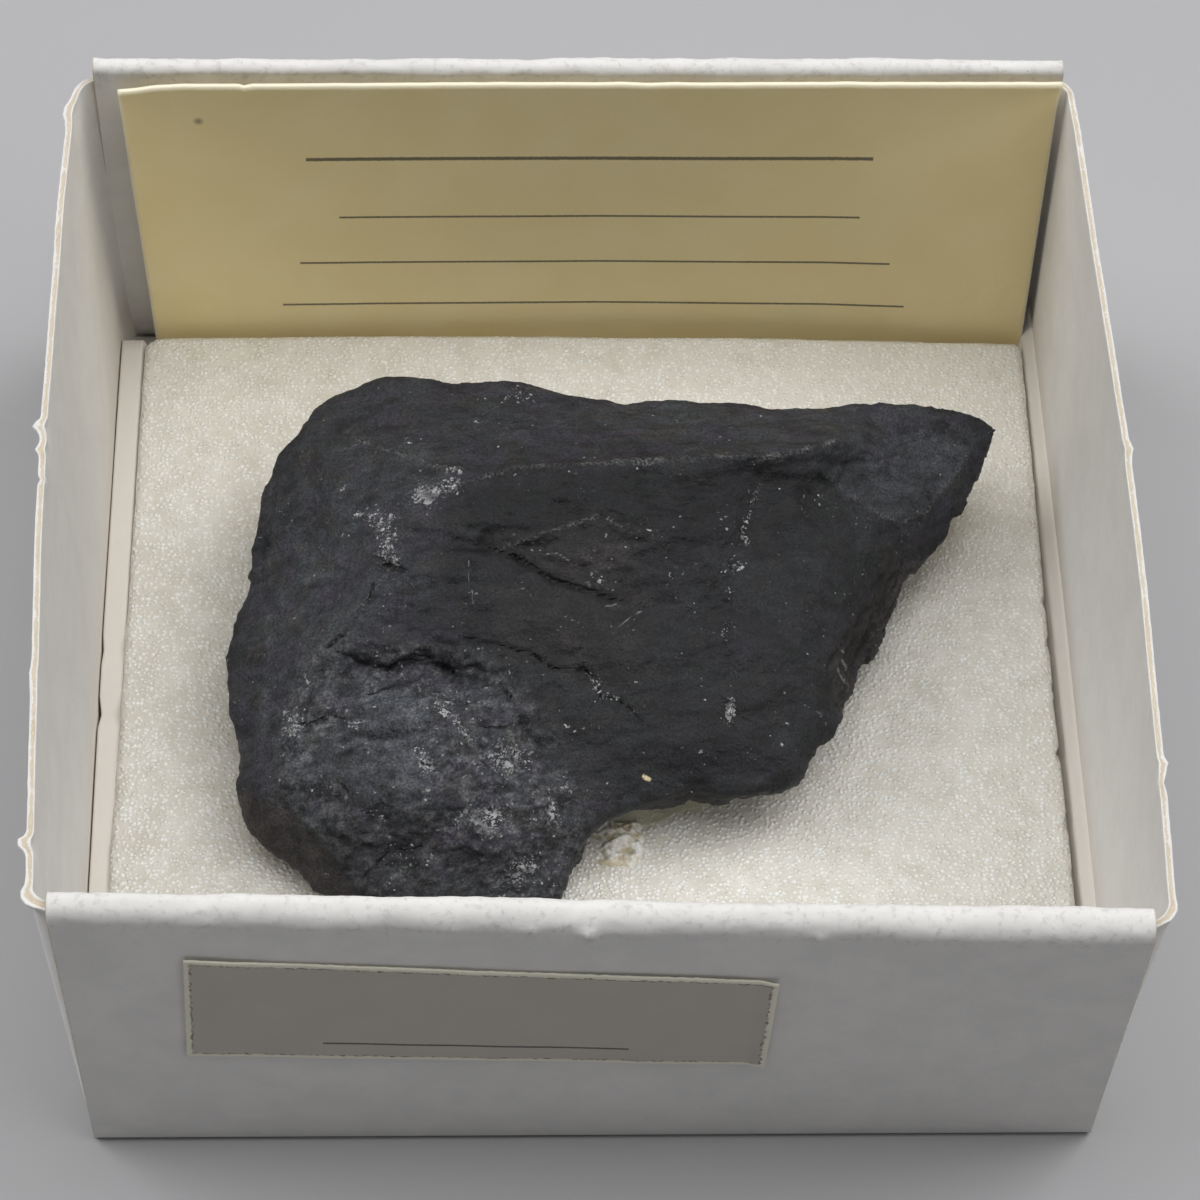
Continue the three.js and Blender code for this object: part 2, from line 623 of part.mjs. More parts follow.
function makeStone() {
  const hiddenEdge = 4; // the bearing face and the foot of the flank stay coarse
  const nearFoot = STONE_BOTTOM + 0.1;
  const mesh = refine(coarseStone(), (middle) => (middle.z < nearFoot ? hiddenEdge : STONE_EDGE));
  relax(mesh, 2, 0.45);
  relax(mesh, 2, -0.5); // gives back the size that the softening took
  const geometry = new THREE.BufferGeometry();
  const flat = mesh.positions.flatMap((point) => [...point]);
  geometry.setAttribute("position", new THREE.Float32BufferAttribute(flat, 3));
  geometry.setIndex(mesh.triangles.flat());
  geometry.computeVertexNormals();
  const normals = geometry.getAttribute("normal");
  const normal = new THREE.Vector3();
  mesh.positions.forEach((point, i) => {
    normal.fromBufferAttribute(normals, i);
    if (point.z > nearFoot) roughen(point, normal);
    point.z = Math.max(point.z, STONE_BOTTOM);
    geometry.attributes.position.setXYZ(i, point.x, point.y, point.z);
  });
  geometry.deleteAttribute("normal");
  return toGeometry(toSolid(geometry));
}

// ---- Assembly -----------------------------------------------------------
function piece(name, geometry, color, roughness, metalness = 0) {
  const material = new THREE.MeshStandardMaterial({ color, roughness, metalness, flatShading: true });
  const mesh = new THREE.Mesh(geometry, material);
  mesh.name = name;
  return mesh;
}

const TRAY_WHITE = 0xd9d6d2;

const specimenTray = new THREE.Group();
specimenTray.add(
  piece("tray_floor", makeFloor(), TRAY_WHITE, 0.75),
  piece("tray_front_wall", toGeometry(frontWall()), TRAY_WHITE, 0.75),
  piece("tray_back_wall", toGeometry(backWall()), TRAY_WHITE, 0.75),
  piece("tray_left_wall", makeSideWall(LEFT, 1), TRAY_WHITE, 0.75),
  piece("tray_right_wall", makeSideWall(RIGHT, -1), TRAY_WHITE, 0.75),
  piece("foam_pad", makePad(), 0xe9e7dc, 0.8),
  piece("name_card", makeNameCard(), 0xe6dcb4, 0.8),
  piece("number_label", makeNumberLabel(), 0xcfcabb, 0.8),
  piece("glue_blob", makeGlue(), 0xe4e2d2, 0.35),
  piece("shungite_rock", makeStone(), 0x2c2c30, 0.55, 0.1),
);

export default specimenTray;
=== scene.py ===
"""The looks of a shungite specimen: a stone glued on a foam pad in a folded card tray.

Lengths are in millimetres unless a name says otherwise, and MM turns them into metres.
"""
import math

import bpy
import numpy as np
from mathutils import Matrix, Vector


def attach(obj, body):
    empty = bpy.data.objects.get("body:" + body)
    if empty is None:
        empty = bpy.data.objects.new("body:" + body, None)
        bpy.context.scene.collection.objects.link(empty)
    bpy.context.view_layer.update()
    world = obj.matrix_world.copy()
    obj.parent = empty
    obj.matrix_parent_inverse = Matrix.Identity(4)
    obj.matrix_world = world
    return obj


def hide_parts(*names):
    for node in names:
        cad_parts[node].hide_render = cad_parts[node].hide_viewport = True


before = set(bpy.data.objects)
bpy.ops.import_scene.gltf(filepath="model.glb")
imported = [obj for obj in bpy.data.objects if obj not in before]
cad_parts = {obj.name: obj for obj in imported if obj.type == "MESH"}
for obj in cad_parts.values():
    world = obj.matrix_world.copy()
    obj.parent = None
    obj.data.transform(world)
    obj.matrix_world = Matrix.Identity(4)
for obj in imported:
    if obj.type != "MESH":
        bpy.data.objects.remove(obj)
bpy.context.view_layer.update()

MM = 0.001

# ---- Driving dimensions, the same as the solids' ---------------------------
FRONT, BACK = -20.13, 21.1  # outer faces of the walls at the floor
LEFT, RIGHT = -20.45, 20.85
FRONT_ENDS, BACK_ENDS = (-19.8, 20.2), (-20.3, 20.5)  # ends of the rolled walls
RIM, SIDE_RIM = 18.2, 17.8
FRONT_WALL, BACK_WALL = 1.2, 0.95
BOARD = 0.5  # a side wall's raw edge
LAYER = 0.36  # one layer of the folded strip
FLAP_TOP = 1.0
BEND = 1.3
BEND_FRONT, BEND_BACK = FRONT + 0.42 + BEND, BACK - 0.42 - BEND
PAD_TOP = 3.0
CARD_BOTTOM, CARD_TOP = 1.25, 17.9
STONE_BOTTOM = 3.3

# The direction from the stone to the camera. The stone's features are drawn in the plane across it.
TO_CAMERA = np.array([0.0, -0.5688, 0.8224])


FAR = 9.0  # a distance that counts as nowhere near a mark


# ---- Numbers ---------------------------------------------------------------
def lerp(a, b, t):
    return a + (b - a) * t


def smoothstep(x, low, high):
    t = np.clip((x - low) / (high - low), 0, 1)
    return t * t * (3 - 2 * t)


def bell(x, width):
    return np.exp(-((x / width) ** 2))


def lattice(cell, seed):
    """Repeatable numbers from 0 to 1, three for each whole-numbered cell."""
    n = cell.astype(np.int64)
    h = (n[:, 0] * 374761393 + n[:, 1] * 668265263 + n[:, 2] * 1440662683 + seed * 974634777) & 0xFFFFFFFF
    values = []
    for _ in range(3):
        h = ((h ^ (h >> 15)) * 2246822519) & 0xFFFFFFFF
        h = ((h ^ (h >> 13)) * 3266489917) & 0xFFFFFFFF
        h = h ^ (h >> 16)
        values.append(h / 0xFFFFFFFF)
    return np.stack(values, axis=1)


def noise(points, size, seed=0):
    """Smooth gradient noise, about -1 to 1, with lumps of the given size."""
    p = points / size
    base = np.floor(p)
    f = p - base
    ease = f * f * f * (f * (f * 6 - 15) + 10)
    total = np.zeros(len(p))
    for corner in np.ndindex(2, 2, 2):
        step = np.array(corner)
        gradient = lattice(base + step, seed) * 2 - 1
        weight = np.prod(np.where(step == 1, ease, 1 - ease), axis=1)
        total += weight * np.einsum("ij,ij->i", gradient, f - step)
    return total * 1.6


def fractal(points, size, octaves, seed=0, gain=0.5):
    return sum(gain**i * noise(points, size / 2**i, seed + 17 * i) for i in range(octaves))


def ridges(points, size, octaves, seed=0, gain=0.55):
    """Sharp ridges between rounded hollows, about 0 to 1."""
    layers = [gain**i * (1 - np.abs(noise(points, size / 2**i, seed + 31 * i)) * 2) for i in range(octaves)]
    return sum(layers) / sum(gain**i for i in range(octaves))


def chips(points, size, seed=0):
    """Flat tilted chips: each point takes the height of its nearest cell's own plane."""
    p = points / size
    base = np.floor(p)
    best = np.full(len(p), np.inf)
    height = np.zeros(len(p))
    for corner in np.ndindex(3, 3, 3):
        cell = base + np.array(corner) - 1
        offset = p - (cell + lattice(cell, seed))
        distance = np.einsum("ij,ij->i", offset, offset)
        tilt = lattice(cell, seed + 5) * 2 - 1
        plane = np.einsum("ij,ij->i", offset, tilt) + 0.35 * tilt[:, 0]
        nearer = distance < best
        best = np.where(nearer, distance, best)
        height = np.where(nearer, plane, height)
    return height


def along_path(points, path):
    """Distance to a path in the plane, the share along it, and how far past its ends.

    The distance is positive on the path's left.
    """
    path = np.array(path, float)
    lengths = np.linalg.norm(np.diff(path, axis=0), axis=1)
    starts = np.concatenate([[0], np.cumsum(lengths)])
    best = np.full(len(points), np.inf)
    signed, share, beyond = (np.zeros(len(points)) for _ in range(3))
    for i, (a, b) in enumerate(zip(path[:-1], path[1:])):
        d = b - a
        t = ((points - a) @ d) / (d @ d)
        inside = np.clip(t, 0, 1)
        off = points - a - inside[:, None] * d
        distance = np.linalg.norm(off, axis=1)
        side = np.sign(d[0] * off[:, 1] - d[1] * off[:, 0])
        past = np.clip(-t, 0, None) * (i == 0) + np.clip(t - 1, 0, None) * (i == len(lengths) - 1)
        nearer = distance < best
        best = np.where(nearer, distance, best)
        signed = np.where(nearer, side * distance, signed)
        share = np.where(nearer, (starts[i] + inside * lengths[i]) / starts[-1], share)
        beyond = np.where(nearer, past * lengths[i], beyond)
    return signed, share, beyond


def nearest_of(points, paths):
    """Distance to the nearest of some paths in the plane."""
    return np.min([np.abs(along_path(points, path)[0]) for path in paths], axis=0)


def inside_polygon(points, polygon, soft):
    """1 inside a polygon in the plane, falling to 0 over a soft width outside it."""
    corners = np.array(polygon, float)
    inside = np.zeros(len(points), bool)
    x, y = points[:, 0], points[:, 1]
    for (ax, ay), (bx, by) in zip(corners, np.roll(corners, -1, axis=0)):
        crosses = (ay > y) != (by > y)
        inside ^= crosses & (x < (bx - ax) * (y - ay) / (by - ay + 1e-12) + ax)
    distance = np.abs(along_path(points, [*polygon, polygon[0]])[0])
    return np.where(inside, 1.0, 1 - smoothstep(distance, 0, soft))


# ---- Meshes ----------------------------------------------------------------
def new_object(name, mesh):
    piece = bpy.data.objects.new(name, mesh)
    bpy.context.scene.collection.objects.link(piece)
    return piece


def mesh_from(name, vertices, quads):
    """A mesh from millimetre points and four-cornered faces."""
    mesh = bpy.data.meshes.new(name)
    quads = np.asarray(quads, np.int32)
    mesh.vertices.add(len(vertices))
    mesh.vertices.foreach_set("co", (np.asarray(vertices) * MM).astype(np.float32).ravel())
    mesh.loops.add(quads.size)
    mesh.loops.foreach_set("vertex_index", quads.ravel())
    mesh.polygons.add(len(quads))
    mesh.polygons.foreach_set("loop_start", np.arange(0, quads.size, 4, dtype=np.int32))
    mesh.update(calc_edges=True)
    mesh.validate()
    return mesh


def points_of(mesh):
    co = np.zeros(len(mesh.vertices) * 3, np.float32)
    mesh.vertices.foreach_get("co", co)
    return co.reshape(-1, 3).astype(float) / MM


def normals_of(mesh):
    n = np.zeros(len(mesh.vertices) * 3, np.float32)
    mesh.vertex_normals.foreach_get("vector", n)
    return n.reshape(-1, 3).astype(float)


def move_points(mesh, points):
    mesh.vertices.foreach_set("co", (points * MM).astype(np.float32).ravel())
    mesh.update()


def smooth_shaded(mesh):
    mesh.polygons.foreach_set("use_smooth", np.ones(len(mesh.polygons), bool))


def add_field(mesh, name, values):
    mesh.attributes.new(name, "FLOAT", "POINT").data.foreach_set("value", values.astype(np.float32))


def add_colours(mesh, name, colours):
    rgba = np.column_stack([np.clip(colours, 0, 1), np.ones(len(colours))]).astype(np.float32)
    mesh.attributes.new(name, "FLOAT_COLOR", "POINT").data.foreach_set("color", rgba.ravel())


def neighbour_mean(mesh, values, rounds=1):
    """Each vertex takes the mean of its neighbours, some rounds over."""
    edges = np.zeros(len(mesh.edges) * 2, np.int32)
    mesh.edges.foreach_get("vertices", edges)
    a, b = edges.reshape(-1, 2).T
    count = np.bincount(a, minlength=len(values)) + np.bincount(b, minlength=len(values))
    for _ in range(rounds):
        total = np.bincount(a, values[b], len(values)) + np.bincount(b, values[a], len(values))
        values = total / np.maximum(count, 1)
    return values


def remeshed(name, node, voxel):
    """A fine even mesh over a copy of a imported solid."""
    piece = new_object(name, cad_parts[node].data.copy())
    piece.data.materials.clear()
    weld = piece.modifiers.new("weld", "WELD")
    weld.merge_threshold = 1e-6
    remesh = piece.modifiers.new("remesh", "REMESH")
    remesh.mode = "VOXEL"
    remesh.voxel_size = voxel * MM
    bpy.context.view_layer.update()
    mesh = bpy.data.meshes.new_from_object(piece.evaluated_get(bpy.context.evaluated_depsgraph_get()))
    piece.modifiers.clear()
    piece.data = mesh
    mesh.name = name
    smooth_shaded(mesh)
    return piece


def slab(top, bottom):
    """A closed shell between two matching grids of points, facing out."""
    rows, columns, _ = top.shape
    index = np.arange(rows * columns).reshape(rows, columns)
    under = index + rows * columns
    faces = [np.stack([index[:-1, :-1], index[:-1, 1:], index[1:, 1:], index[1:, :-1]], -1).reshape(-1, 4),
             np.stack([under[:-1, :-1], under[1:, :-1], under[1:, 1:], under[:-1, 1:]], -1).reshape(-1, 4)]
    rims = [(index[0, ::-1], under[0, ::-1]), (index[:, 0], under[:, 0]),
            (index[-1], under[-1]), (index[::-1, -1], under[::-1, -1])]
    faces += [np.stack([line[:-1], line[1:], other[1:], other[:-1]], -1) for line, other in rims]
    points = np.concatenate([top.reshape(-1, 3), bottom.reshape(-1, 3)])
    faces = np.concatenate(faces)
    a, b, c, d = (points[faces[:, i]] for i in range(4))
    volume = np.einsum("ij,ij->", a, np.cross(b, c)) + np.einsum("ij,ij->", a, np.cross(c, d))
    return points, faces if volume > 0 else faces[:, ::-1]


def on_both(top, bottom=None):
    """A value for each point of a slab, from a grid of values for each side."""
    return np.concatenate([np.ravel(top), np.ravel(top if bottom is None else bottom)])


def place_piece(piece, slot, *nodes):
    """Puts a finished piece in the frame, in place of the solids that it stands for."""
    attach(piece, "root")
    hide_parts(*nodes)
    return piece


# ---- Materials -------------------------------------------------------------
class Shader:
    """A short way to write a material's nodes."""

    def __init__(self, name, roughness, **sockets):
        self.material = bpy.data.materials.new(name)
        self.material.use_nodes = True
        self.tree = self.material.node_tree
        self.surface = next(n for n in self.tree.nodes if n.type == "BSDF_PRINCIPLED")
        self.surface.inputs["Roughness"].default_value = roughness
        for socket, value in sockets.items():
            self.surface.inputs[socket.replace("_", " ")].default_value = value
        place = self.node("ShaderNodeTexCoord").outputs["Object"]
        self.place = self.vector("SCALE", place, Scale=1 / MM)  # millimetres

    def node(self, kind, inputs=None, **settings):
        node = self.tree.nodes.new(kind)
        for key, value in settings.items():
            setattr(node, key, value)
        for key, value in (inputs or {}).items():
            if isinstance(value, bpy.types.NodeSocket):
                self.tree.links.new(value, node.inputs[key])
            elif value is not None:
                node.inputs[key].default_value = value
        return node

    def math(self, operation, a, b=None, c=None):
        return self.node("ShaderNodeMath", {0: a, 1: b, 2: c}, operation=operation).outputs[0]

    def vector(self, operation, a, b=None, **inputs):
        return self.node("ShaderNodeVectorMath", {0: a, 1: b, **inputs}, operation=operation).outputs[0]

    def step(self, value, low, high, to_low=0.0, to_high=1.0):
        inputs = {"Value": value, "From Min": low, "From Max": high, "To Min": to_low, "To Max": to_high}
        return self.node("ShaderNodeMapRange", inputs, interpolation_type="SMOOTHSTEP").outputs[0]

    def noise(self, size, detail, roughness=0.55):
        inputs = {"Vector": self.place, "Scale": 1 / size, "Detail": detail, "Roughness": roughness}
        return self.node("ShaderNodeTexNoise", inputs).outputs["Fac"]

    def cells(self, size):
        """The distance to the middle of the nearest cell, and that cell's three random numbers."""
        cell = self.node("ShaderNodeTexVoronoi", {"Vector": self.place, "Scale": 1 / size}).outputs
        return cell["Distance"], self.node("ShaderNodeSeparateColor", {0: cell["Color"]}).outputs

    def field(self, name):
        return self.node("ShaderNodeAttribute", attribute_name=name).outputs["Fac"]

    def colour_field(self, name):
        return self.node("ShaderNodeAttribute", attribute_name=name).outputs["Color"]

    def mix(self, share, *colours):
        """Two colours mixed: the first where the share is 0, the second where it is 1."""
        first, second = ((*value, 1) if isinstance(value, tuple) else value for value in colours)
        return self.node("ShaderNodeMix", {0: share, 6: first, 7: second}, data_type="RGBA").outputs[2]

    def scaled(self, colour, factor):
        return self.vector("SCALE", colour, Scale=factor)

    def colour(self, value):
        self.tree.links.new(value, self.surface.inputs["Base Color"])

    def bumps(self, *layers):
        """Each layer is a height from 0 to 1 and what a height of 1 measures, in millimetres."""
        normal = None
        for height, size in layers:
            inputs = {"Height": height, "Distance": size * MM, "Normal": normal}
            normal = self.node("ShaderNodeBump", inputs).outputs[0]
        self.tree.links.new(normal, self.surface.inputs["Normal"])


def shungite_grains(s, base, fine):
    """Pale specks: tiny lone grains, denser clusters of pale mineral and painted glints, and crusts with
    ragged edges.
    """
    for value, low in ((fine, 0.745), (s.noise(0.21, 1), 0.74)):
        grains = s.step(s.math("ADD", value, s.field("grains")), low, low + 0.06)
        base = s.mix(s.math("MULTIPLY", grains, s.field("glint")), base, (0.38, 0.38, 0.385))
    distance, chance = s.cells(0.8)
    reach = s.math("MULTIPLY_ADD", chance[2], 0.07, distance)
    lone = s.math("MULTIPLY", s.step(reach, 0.05, 0.1, 1, 0), s.step(chance[1], 0.35, 1))
    base = s.mix(lone, base, (0.36, 0.36, 0.36))
    ragged = s.math("MULTIPLY_ADD", s.noise(0.17, 3, roughness=0.7), 8.6, s.field("crust"))
    pale = s.mix(s.step(fine, 0.4, 0.64), (0.10, 0.10, 0.105), (0.58, 0.58, 0.585))
    return s.mix(s.step(ragged, 3.3, 4.1, 0.95, 0), base, pale)


def shungite_material():
    """Dull near-black stone with specks of pale mineral and painted glints, thin scratches, brown faces,
    painted highlights along its edges and painted shade in its cracks.
    """
    s = Shader("shungite", 0.58, Specular_IOR_Level=0.34)
    fine = s.noise(0.1, 2, roughness=0.6)
    coarse = s.noise(0.3, 3, roughness=0.7)
    base = s.scaled(s.colour_field("ground"), s.step(fine, 0.3, 0.7, 0.5, 1.6))
    base = shungite_grains(s, base, fine)
    # Painted highlight: pale broken specks along the crest and the raised crisp edges.
    edge = s.math("MULTIPLY_ADD", coarse, 0.34, s.field("crest"))
    wear_and_highlight = s.math("MULTIPLY", s.step(edge, 0.2, 0.33, 1, 0), s.step(fine, 0.45, 0.6))
    base = s.mix(s.math("MULTIPLY", wear_and_highlight, s.field("glint")), base, (0.13, 0.13, 0.125))
    # Painted shade: a near-black line in each crack and crevice.
    crack = s.math("MULTIPLY_ADD", coarse, 1.1, s.field("crack"))
    base = s.mix(s.step(crack, 0.85, 1.6, 0.8, 0), base, (0.0045, 0.0045, 0.005))
    line = s.step(s.math("MULTIPLY_ADD", coarse, 0.06, s.field("scratch")), 0.04, 0.075, 1, 0)
    base = s.mix(s.math("MULTIPLY", line, 0.6), base, (0.26, 0.26, 0.25))
    base = s.mix(s.step(s.field("yellow"), 0.06, 0.13, 1, 0), base, (0.62, 0.52, 0.34))
    s.colour(base)
    s.bumps((s.noise(0.25, 4, roughness=0.72), 0.12), (s.step(crack, 0.9, 2.0), 0.07))
    return s.material


def card_material():
    """White lined card: soft paper, greyer with wear, tan and fibrous where its core shows, with a creamy
    tint of painted bounce light low on the inside.
    """
    s = Shader("white_card", 0.6, Specular_IOR_Level=0.0)
    soft, fibre = s.noise(2.2, 4, roughness=0.65), s.noise(0.32, 3, roughness=0.65)
    tint = s.mix(s.step(soft, 0.3, 0.7), (0.755, 0.742, 0.725), (0.81, 0.795, 0.775))
    # Painted bounce light: a creamy tint on the floor flap and low on the inside of the side walls.
    tint = s.mix(s.field("bounce_tint"), tint, (0.72, 0.675, 0.61))
    tint = s.mix(s.step(soft, 0.62, 0.78, 0, 0.12), tint, (0.45, 0.44, 0.46))
    fleck = s.math("MULTIPLY", s.step(s.noise(0.16, 1), 0.775, 0.81), s.field("flecks"))
    tint = s.mix(fleck, tint, (0.2, 0.19, 0.19))
    scuff = s.math("MULTIPLY", s.field("wear_and_highlight"), s.step(fibre, 0.5, 0.72))
    tint = s.mix(s.math("MULTIPLY", scuff, 0.5), tint, (0.50, 0.48, 0.46))
    pulp = s.mix(fibre, (0.46, 0.38, 0.27), (0.76, 0.69, 0.57))
    ragged = s.math("MULTIPLY_ADD", fibre, 1.3, s.field("raw"))
    s.colour(s.mix(s.step(ragged, 1.15, 1.5), tint, pulp))
    s.bumps((soft, 0.03), (fibre, 0.01))
    return s.material


def foam_material():
    """White expanded foam: tiny closed cells whose shiny skins glint, with painted glints on many cells and
    painted shade between them.
    """
    s = Shader("white_foam", 0.28, Specular_IOR_Level=0.6)
    distance, chance = s.cells(0.19)
    dome = s.step(distance, 0.05, 0.6, 1, 0)
    # Painted glints: many cells get a bright near-white spot.
    reach = s.math("MULTIPLY_ADD", chance[1], 0.3, distance)
    lit = s.math("MULTIPLY", s.step(reach, 0.28, 0.68, 1, 0), s.step(chance[0], -0.4, 0.6))
    base = s.mix(s.field("shade"), (0.70, 0.67, 0.585), (0.84, 0.815, 0.75))
    # Painted shade between the cells.
    base = s.mix(s.step(dome, 0.0, 1.0, 0.22, 0.0), base, (0.44, 0.40, 0.34))
    pearl = s.mix(chance[2], (0.92, 0.97, 0.95), (1.0, 0.97, 0.93))
    s.colour(s.mix(lit, base, pearl))
    s.bumps((dome, 0.05))
    return s.material


def ruled(s, lines, tint, ink):
    """Printed rules on a card: each is its height, two ends and half width, all as shares of the card."""
    across, height = s.field("across"), s.field("height")
    for at, start, end, half in lines:
        distance = s.math("ABSOLUTE", s.math("SUBTRACT", height, at))
        ragged = s.math("MULTIPLY_ADD", s.noise(0.12, 3), half * 0.8, distance)
        line = s.step(ragged, half * 1.1, half * 1.7, 1, 0)
        within = s.math("MULTIPLY", s.math("GREATER_THAN", across, start), s.math("LESS_THAN", across, end))
        tint = s.mix(s.math("MULTIPLY", s.math("MULTIPLY", line, within), 0.8), tint, ink)
    return tint


def name_card_material():
    """Matte cream card with pale cut edges, a spot of dirt and blank printed rules."""
    s = Shader("cream_card", 0.75, Specular_IOR_Level=0.0)
    fibre = s.noise(0.4, 3, roughness=0.7)
    tint = s.mix(s.step(s.noise(4, 3), 0.3, 0.7), (0.97, 0.82, 0.45), (1.0, 0.86, 0.5))
    tint = s.mix(s.step(fibre, 0.62, 0.8, 0, 0.12), tint, (0.70, 0.60, 0.38))
    tint = ruled(s, NAME_CARD_RULES, tint, (0.06, 0.055, 0.05))
    spot = s.vector("SUBTRACT", s.place, DIRT_SPOT)
    spot = s.node("ShaderNodeVectorMath", {0: spot}, operation="LENGTH").outputs["Value"]
    tint = s.mix(s.step(spot, 0.06, 0.32, 0.8, 0), tint, (0.16, 0.13, 0.08))
    tint = s.mix(s.field("raw"), tint, (0.93, 0.87, 0.68))
    s.colour(tint)
    s.bumps((fibre, 0.015))
    return s.material


def label_material():
    """Greyish paper with a deckled pale edge, thin brown dots of painted shade along the crimped tear and a
    blank printed rule.
    """
    s = Shader("label_paper", 0.8, Specular_IOR_Level=0.0)
    tint = s.mix(s.noise(2.5, 3), (0.50, 0.465, 0.41), (0.57, 0.535, 0.475))
    tint = ruled(s, LABEL_RULES, tint, (0.07, 0.068, 0.065))
    edge = s.math("MULTIPLY_ADD", s.noise(0.3, 5, roughness=0.7), -0.4, s.field("edge"))
    tint = s.mix(s.step(edge, -0.04, 0.04, 0.9, 0), tint, (0.86, 0.83, 0.70))
    # Painted shade: dark brown specks just inside the pale edge, where the crimped edge falls into shade.
    dots = s.math("MULTIPLY", s.step(edge, -0.02, 0.03), s.step(edge, 0.05, 0.11, 1, 0))
    dots = s.math("MULTIPLY", dots, s.step(s.noise(0.2, 2), 0.45, 0.6))
    tint = s.mix(s.math("MULTIPLY", dots, 0.8), tint, (0.16, 0.11, 0.06))
    s.colour(tint)
    s.bumps((s.noise(0.3, 3), 0.02))
    return s.material


def glue_material():
    """Dried glue: a cloudy whitish smear, and a clearer olive body under the stone's edge."""
    s = Shader("dried_glue", 0.35, Specular_IOR_Level=0.5)
    tint = s.mix(s.step(s.noise(0.5, 5, roughness=0.6), 0.4, 0.62), (0.60, 0.53, 0.38), (0.88, 0.87, 0.84))
    tint = s.mix(s.field("clear"), tint, s.mix(s.noise(0.6, 3), (0.30, 0.30, 0.20), (0.52, 0.51, 0.39)))
    s.colour(tint)
    s.bumps((s.noise(0.4, 4), 0.1), (s.noise(0.1, 3), 0.015))
    return s.material


# ---- Card tray -------------------------------------------------------------
# How far the side walls' raw edges bow out, from front to back: y and distance.
LEFT_BOW = [(-20, 0.08), (-13, 0.42), (-4, 0.75), (3, 0.92), (14, 0.92), (18, 0.82), (21, 0.6)]
RIGHT_BOW = [(-20, 0.15), (-14, 0.43), (-6, 0.55), (2, 0.54), (12, 0.26), (18, 0.1), (21, 0.08)]
CORNER_DRAW = 0.35
CORNER_DIP = 0.45


def front_lean(x, rise):
    """The front wall's shift along y, at a place across it and a share of its height. It leans out."""
    return lerp(-0.006 * x, -0.63 - 0.0325 * x, rise)


def lean_walls(p):
    """Leans the front and back walls as the tray's solids lean."""
    x, y, z = p.T.copy()
    rise = z / RIM
    front = 1 - smoothstep(y, -19, -14)
    back = smoothstep(y, 15, 20)
    side = smoothstep(np.abs(x), 10, 19)
    back_lean = rise * (0.31 - 0.009 * x)
    taper = (1 - rise) * np.where(x < 0, 0.16, -0.22)
    return np.stack([x + front * side * taper, y + front * front_lean(x, rise) + back * back_lean, z], 1)


def bow_sides(p):
    """Bows a side wall's raw top edge out, and draws in its foot at the front corner."""
    x, y, z = p.T.copy()
    rise = (np.clip(z, 0, None) / SIDE_RIM) ** 0.85
    bow = np.where(x < 0, -np.interp(y, *zip(*LEFT_BOW)), np.interp(y, *zip(*RIGHT_BOW)))
    corner = (1 - smoothstep(y, -20, -16.5)) * (1 - rise)
    side = smoothstep(np.abs(x), 16, 19)
    x = x + side * (rise * bow - np.sign(x) * corner * CORNER_DRAW)
    z = z - rise * CORNER_DIP * smoothstep(y, 17, 20.5)
    return lean_walls(np.stack([x, y, z], 1))


class Path:
    """A line drawn by moving forward and turning, with even steps."""

    def __init__(self, start, heading):
        self.at = np.array(start, float)
        self.heading = math.radians(heading)
        self.points = [self.at.copy()]
        self.headings = [self.heading]
        self.parts = [0]

    def mark(self):
        self.points.append(self.at.copy())
        self.headings.append(self.heading)

    def end_part(self):
        """Notes that one part of the sheet ends here and the next starts."""
        self.parts.append(len(self.points))

    def forward(self, length, step):
        count = max(1, round(length / step))
        for _ in range(count):
            self.at += length / count * np.array([math.cos(self.heading), math.sin(self.heading)])
            self.mark()
        return self

    def turn(self, degrees, radius, steps):
        side = math.copysign(1, degrees)
        centre = self.at + side * radius * np.array([-math.sin(self.heading), math.cos(self.heading)])
        for _ in range(steps):
            self.heading += math.radians(degrees) / steps
            self.at = centre - side * radius * np.array([-math.sin(self.heading), math.cos(self.heading)])
            self.mark()
        return self

    def sides(self, thickness):
        """The lines half a thickness to the left and to the right."""
        points, headings = np.array(self.points), np.array(self.headings)
        left = np.stack([-np.sin(headings), np.cos(headings)], 1) * np.reshape(thickness, (-1, 1)) / 2
        return points + left, points - left


EDGE = 0.28  # how thick the side walls' raw edge looks
LEDGE_TOP = 2.7  # the floor flap curls up beside the foam
LEDGE_END = 18.6  # how far back the left ledge reaches
FOAM_SIDES = (-19.0, 19.98)
FOAM_PUSH = 0.38  # how far the foam is pushed over the left ledge

# Torn nubs under the front rim: x and size.
TORN_NUBS = [(-2.4, 0.22), (-0.2, 0.26), (-0.5, 0.12), (-5.2, 0.07), (8.1, 0.08)]

# Frayed spots on the side walls' raw edges: y, length, height and how far they stand out.
LEFT_FRAYS = [(2.2, 0.28, 0.1, 0.26), (1.1, 0.22, 0.02, 0.14), (-0.4, 0.15, 0.03, -0.1),
              (-9.6, 0.5, 0.03, 0.06), (-16.9, 0.3, 0.1, 0.34), (-19.1, 0.4, 0.1, 0.42),
              (18.4, 0.6, 0.12, 0.2), (12.4, 1.2, 0.0, 0.04)]
RIGHT_FRAYS = [(0.65, 0.35, 0.1, 0.09), (-13.95, 0.3, 0.05, 0.1), (-14.7, 0.2, 0.04, -0.08),
               (-18.9, 0.4, 0.0, 0.12)]

# The rows of a raw edge, from a face to the card's middle: how far below the rim they lie, how far
# through the card they are from its outer face, and how raw they look.
ROW_DROPS = (-0.04, 0.0, -0.02, -0.05, -0.06)
OUTER_ROWS, OUTER_RAW = (0, 0.08, 0.2, 0.34, 0.48), (-0.3, 0.1, 0.4, 0.75, 0.9)
INNER_ROWS, INNER_RAW = (1, 0.93, 0.84, 0.7, 0.56), (-0.1, 0.2, 0.5, 0.85, 0.95)

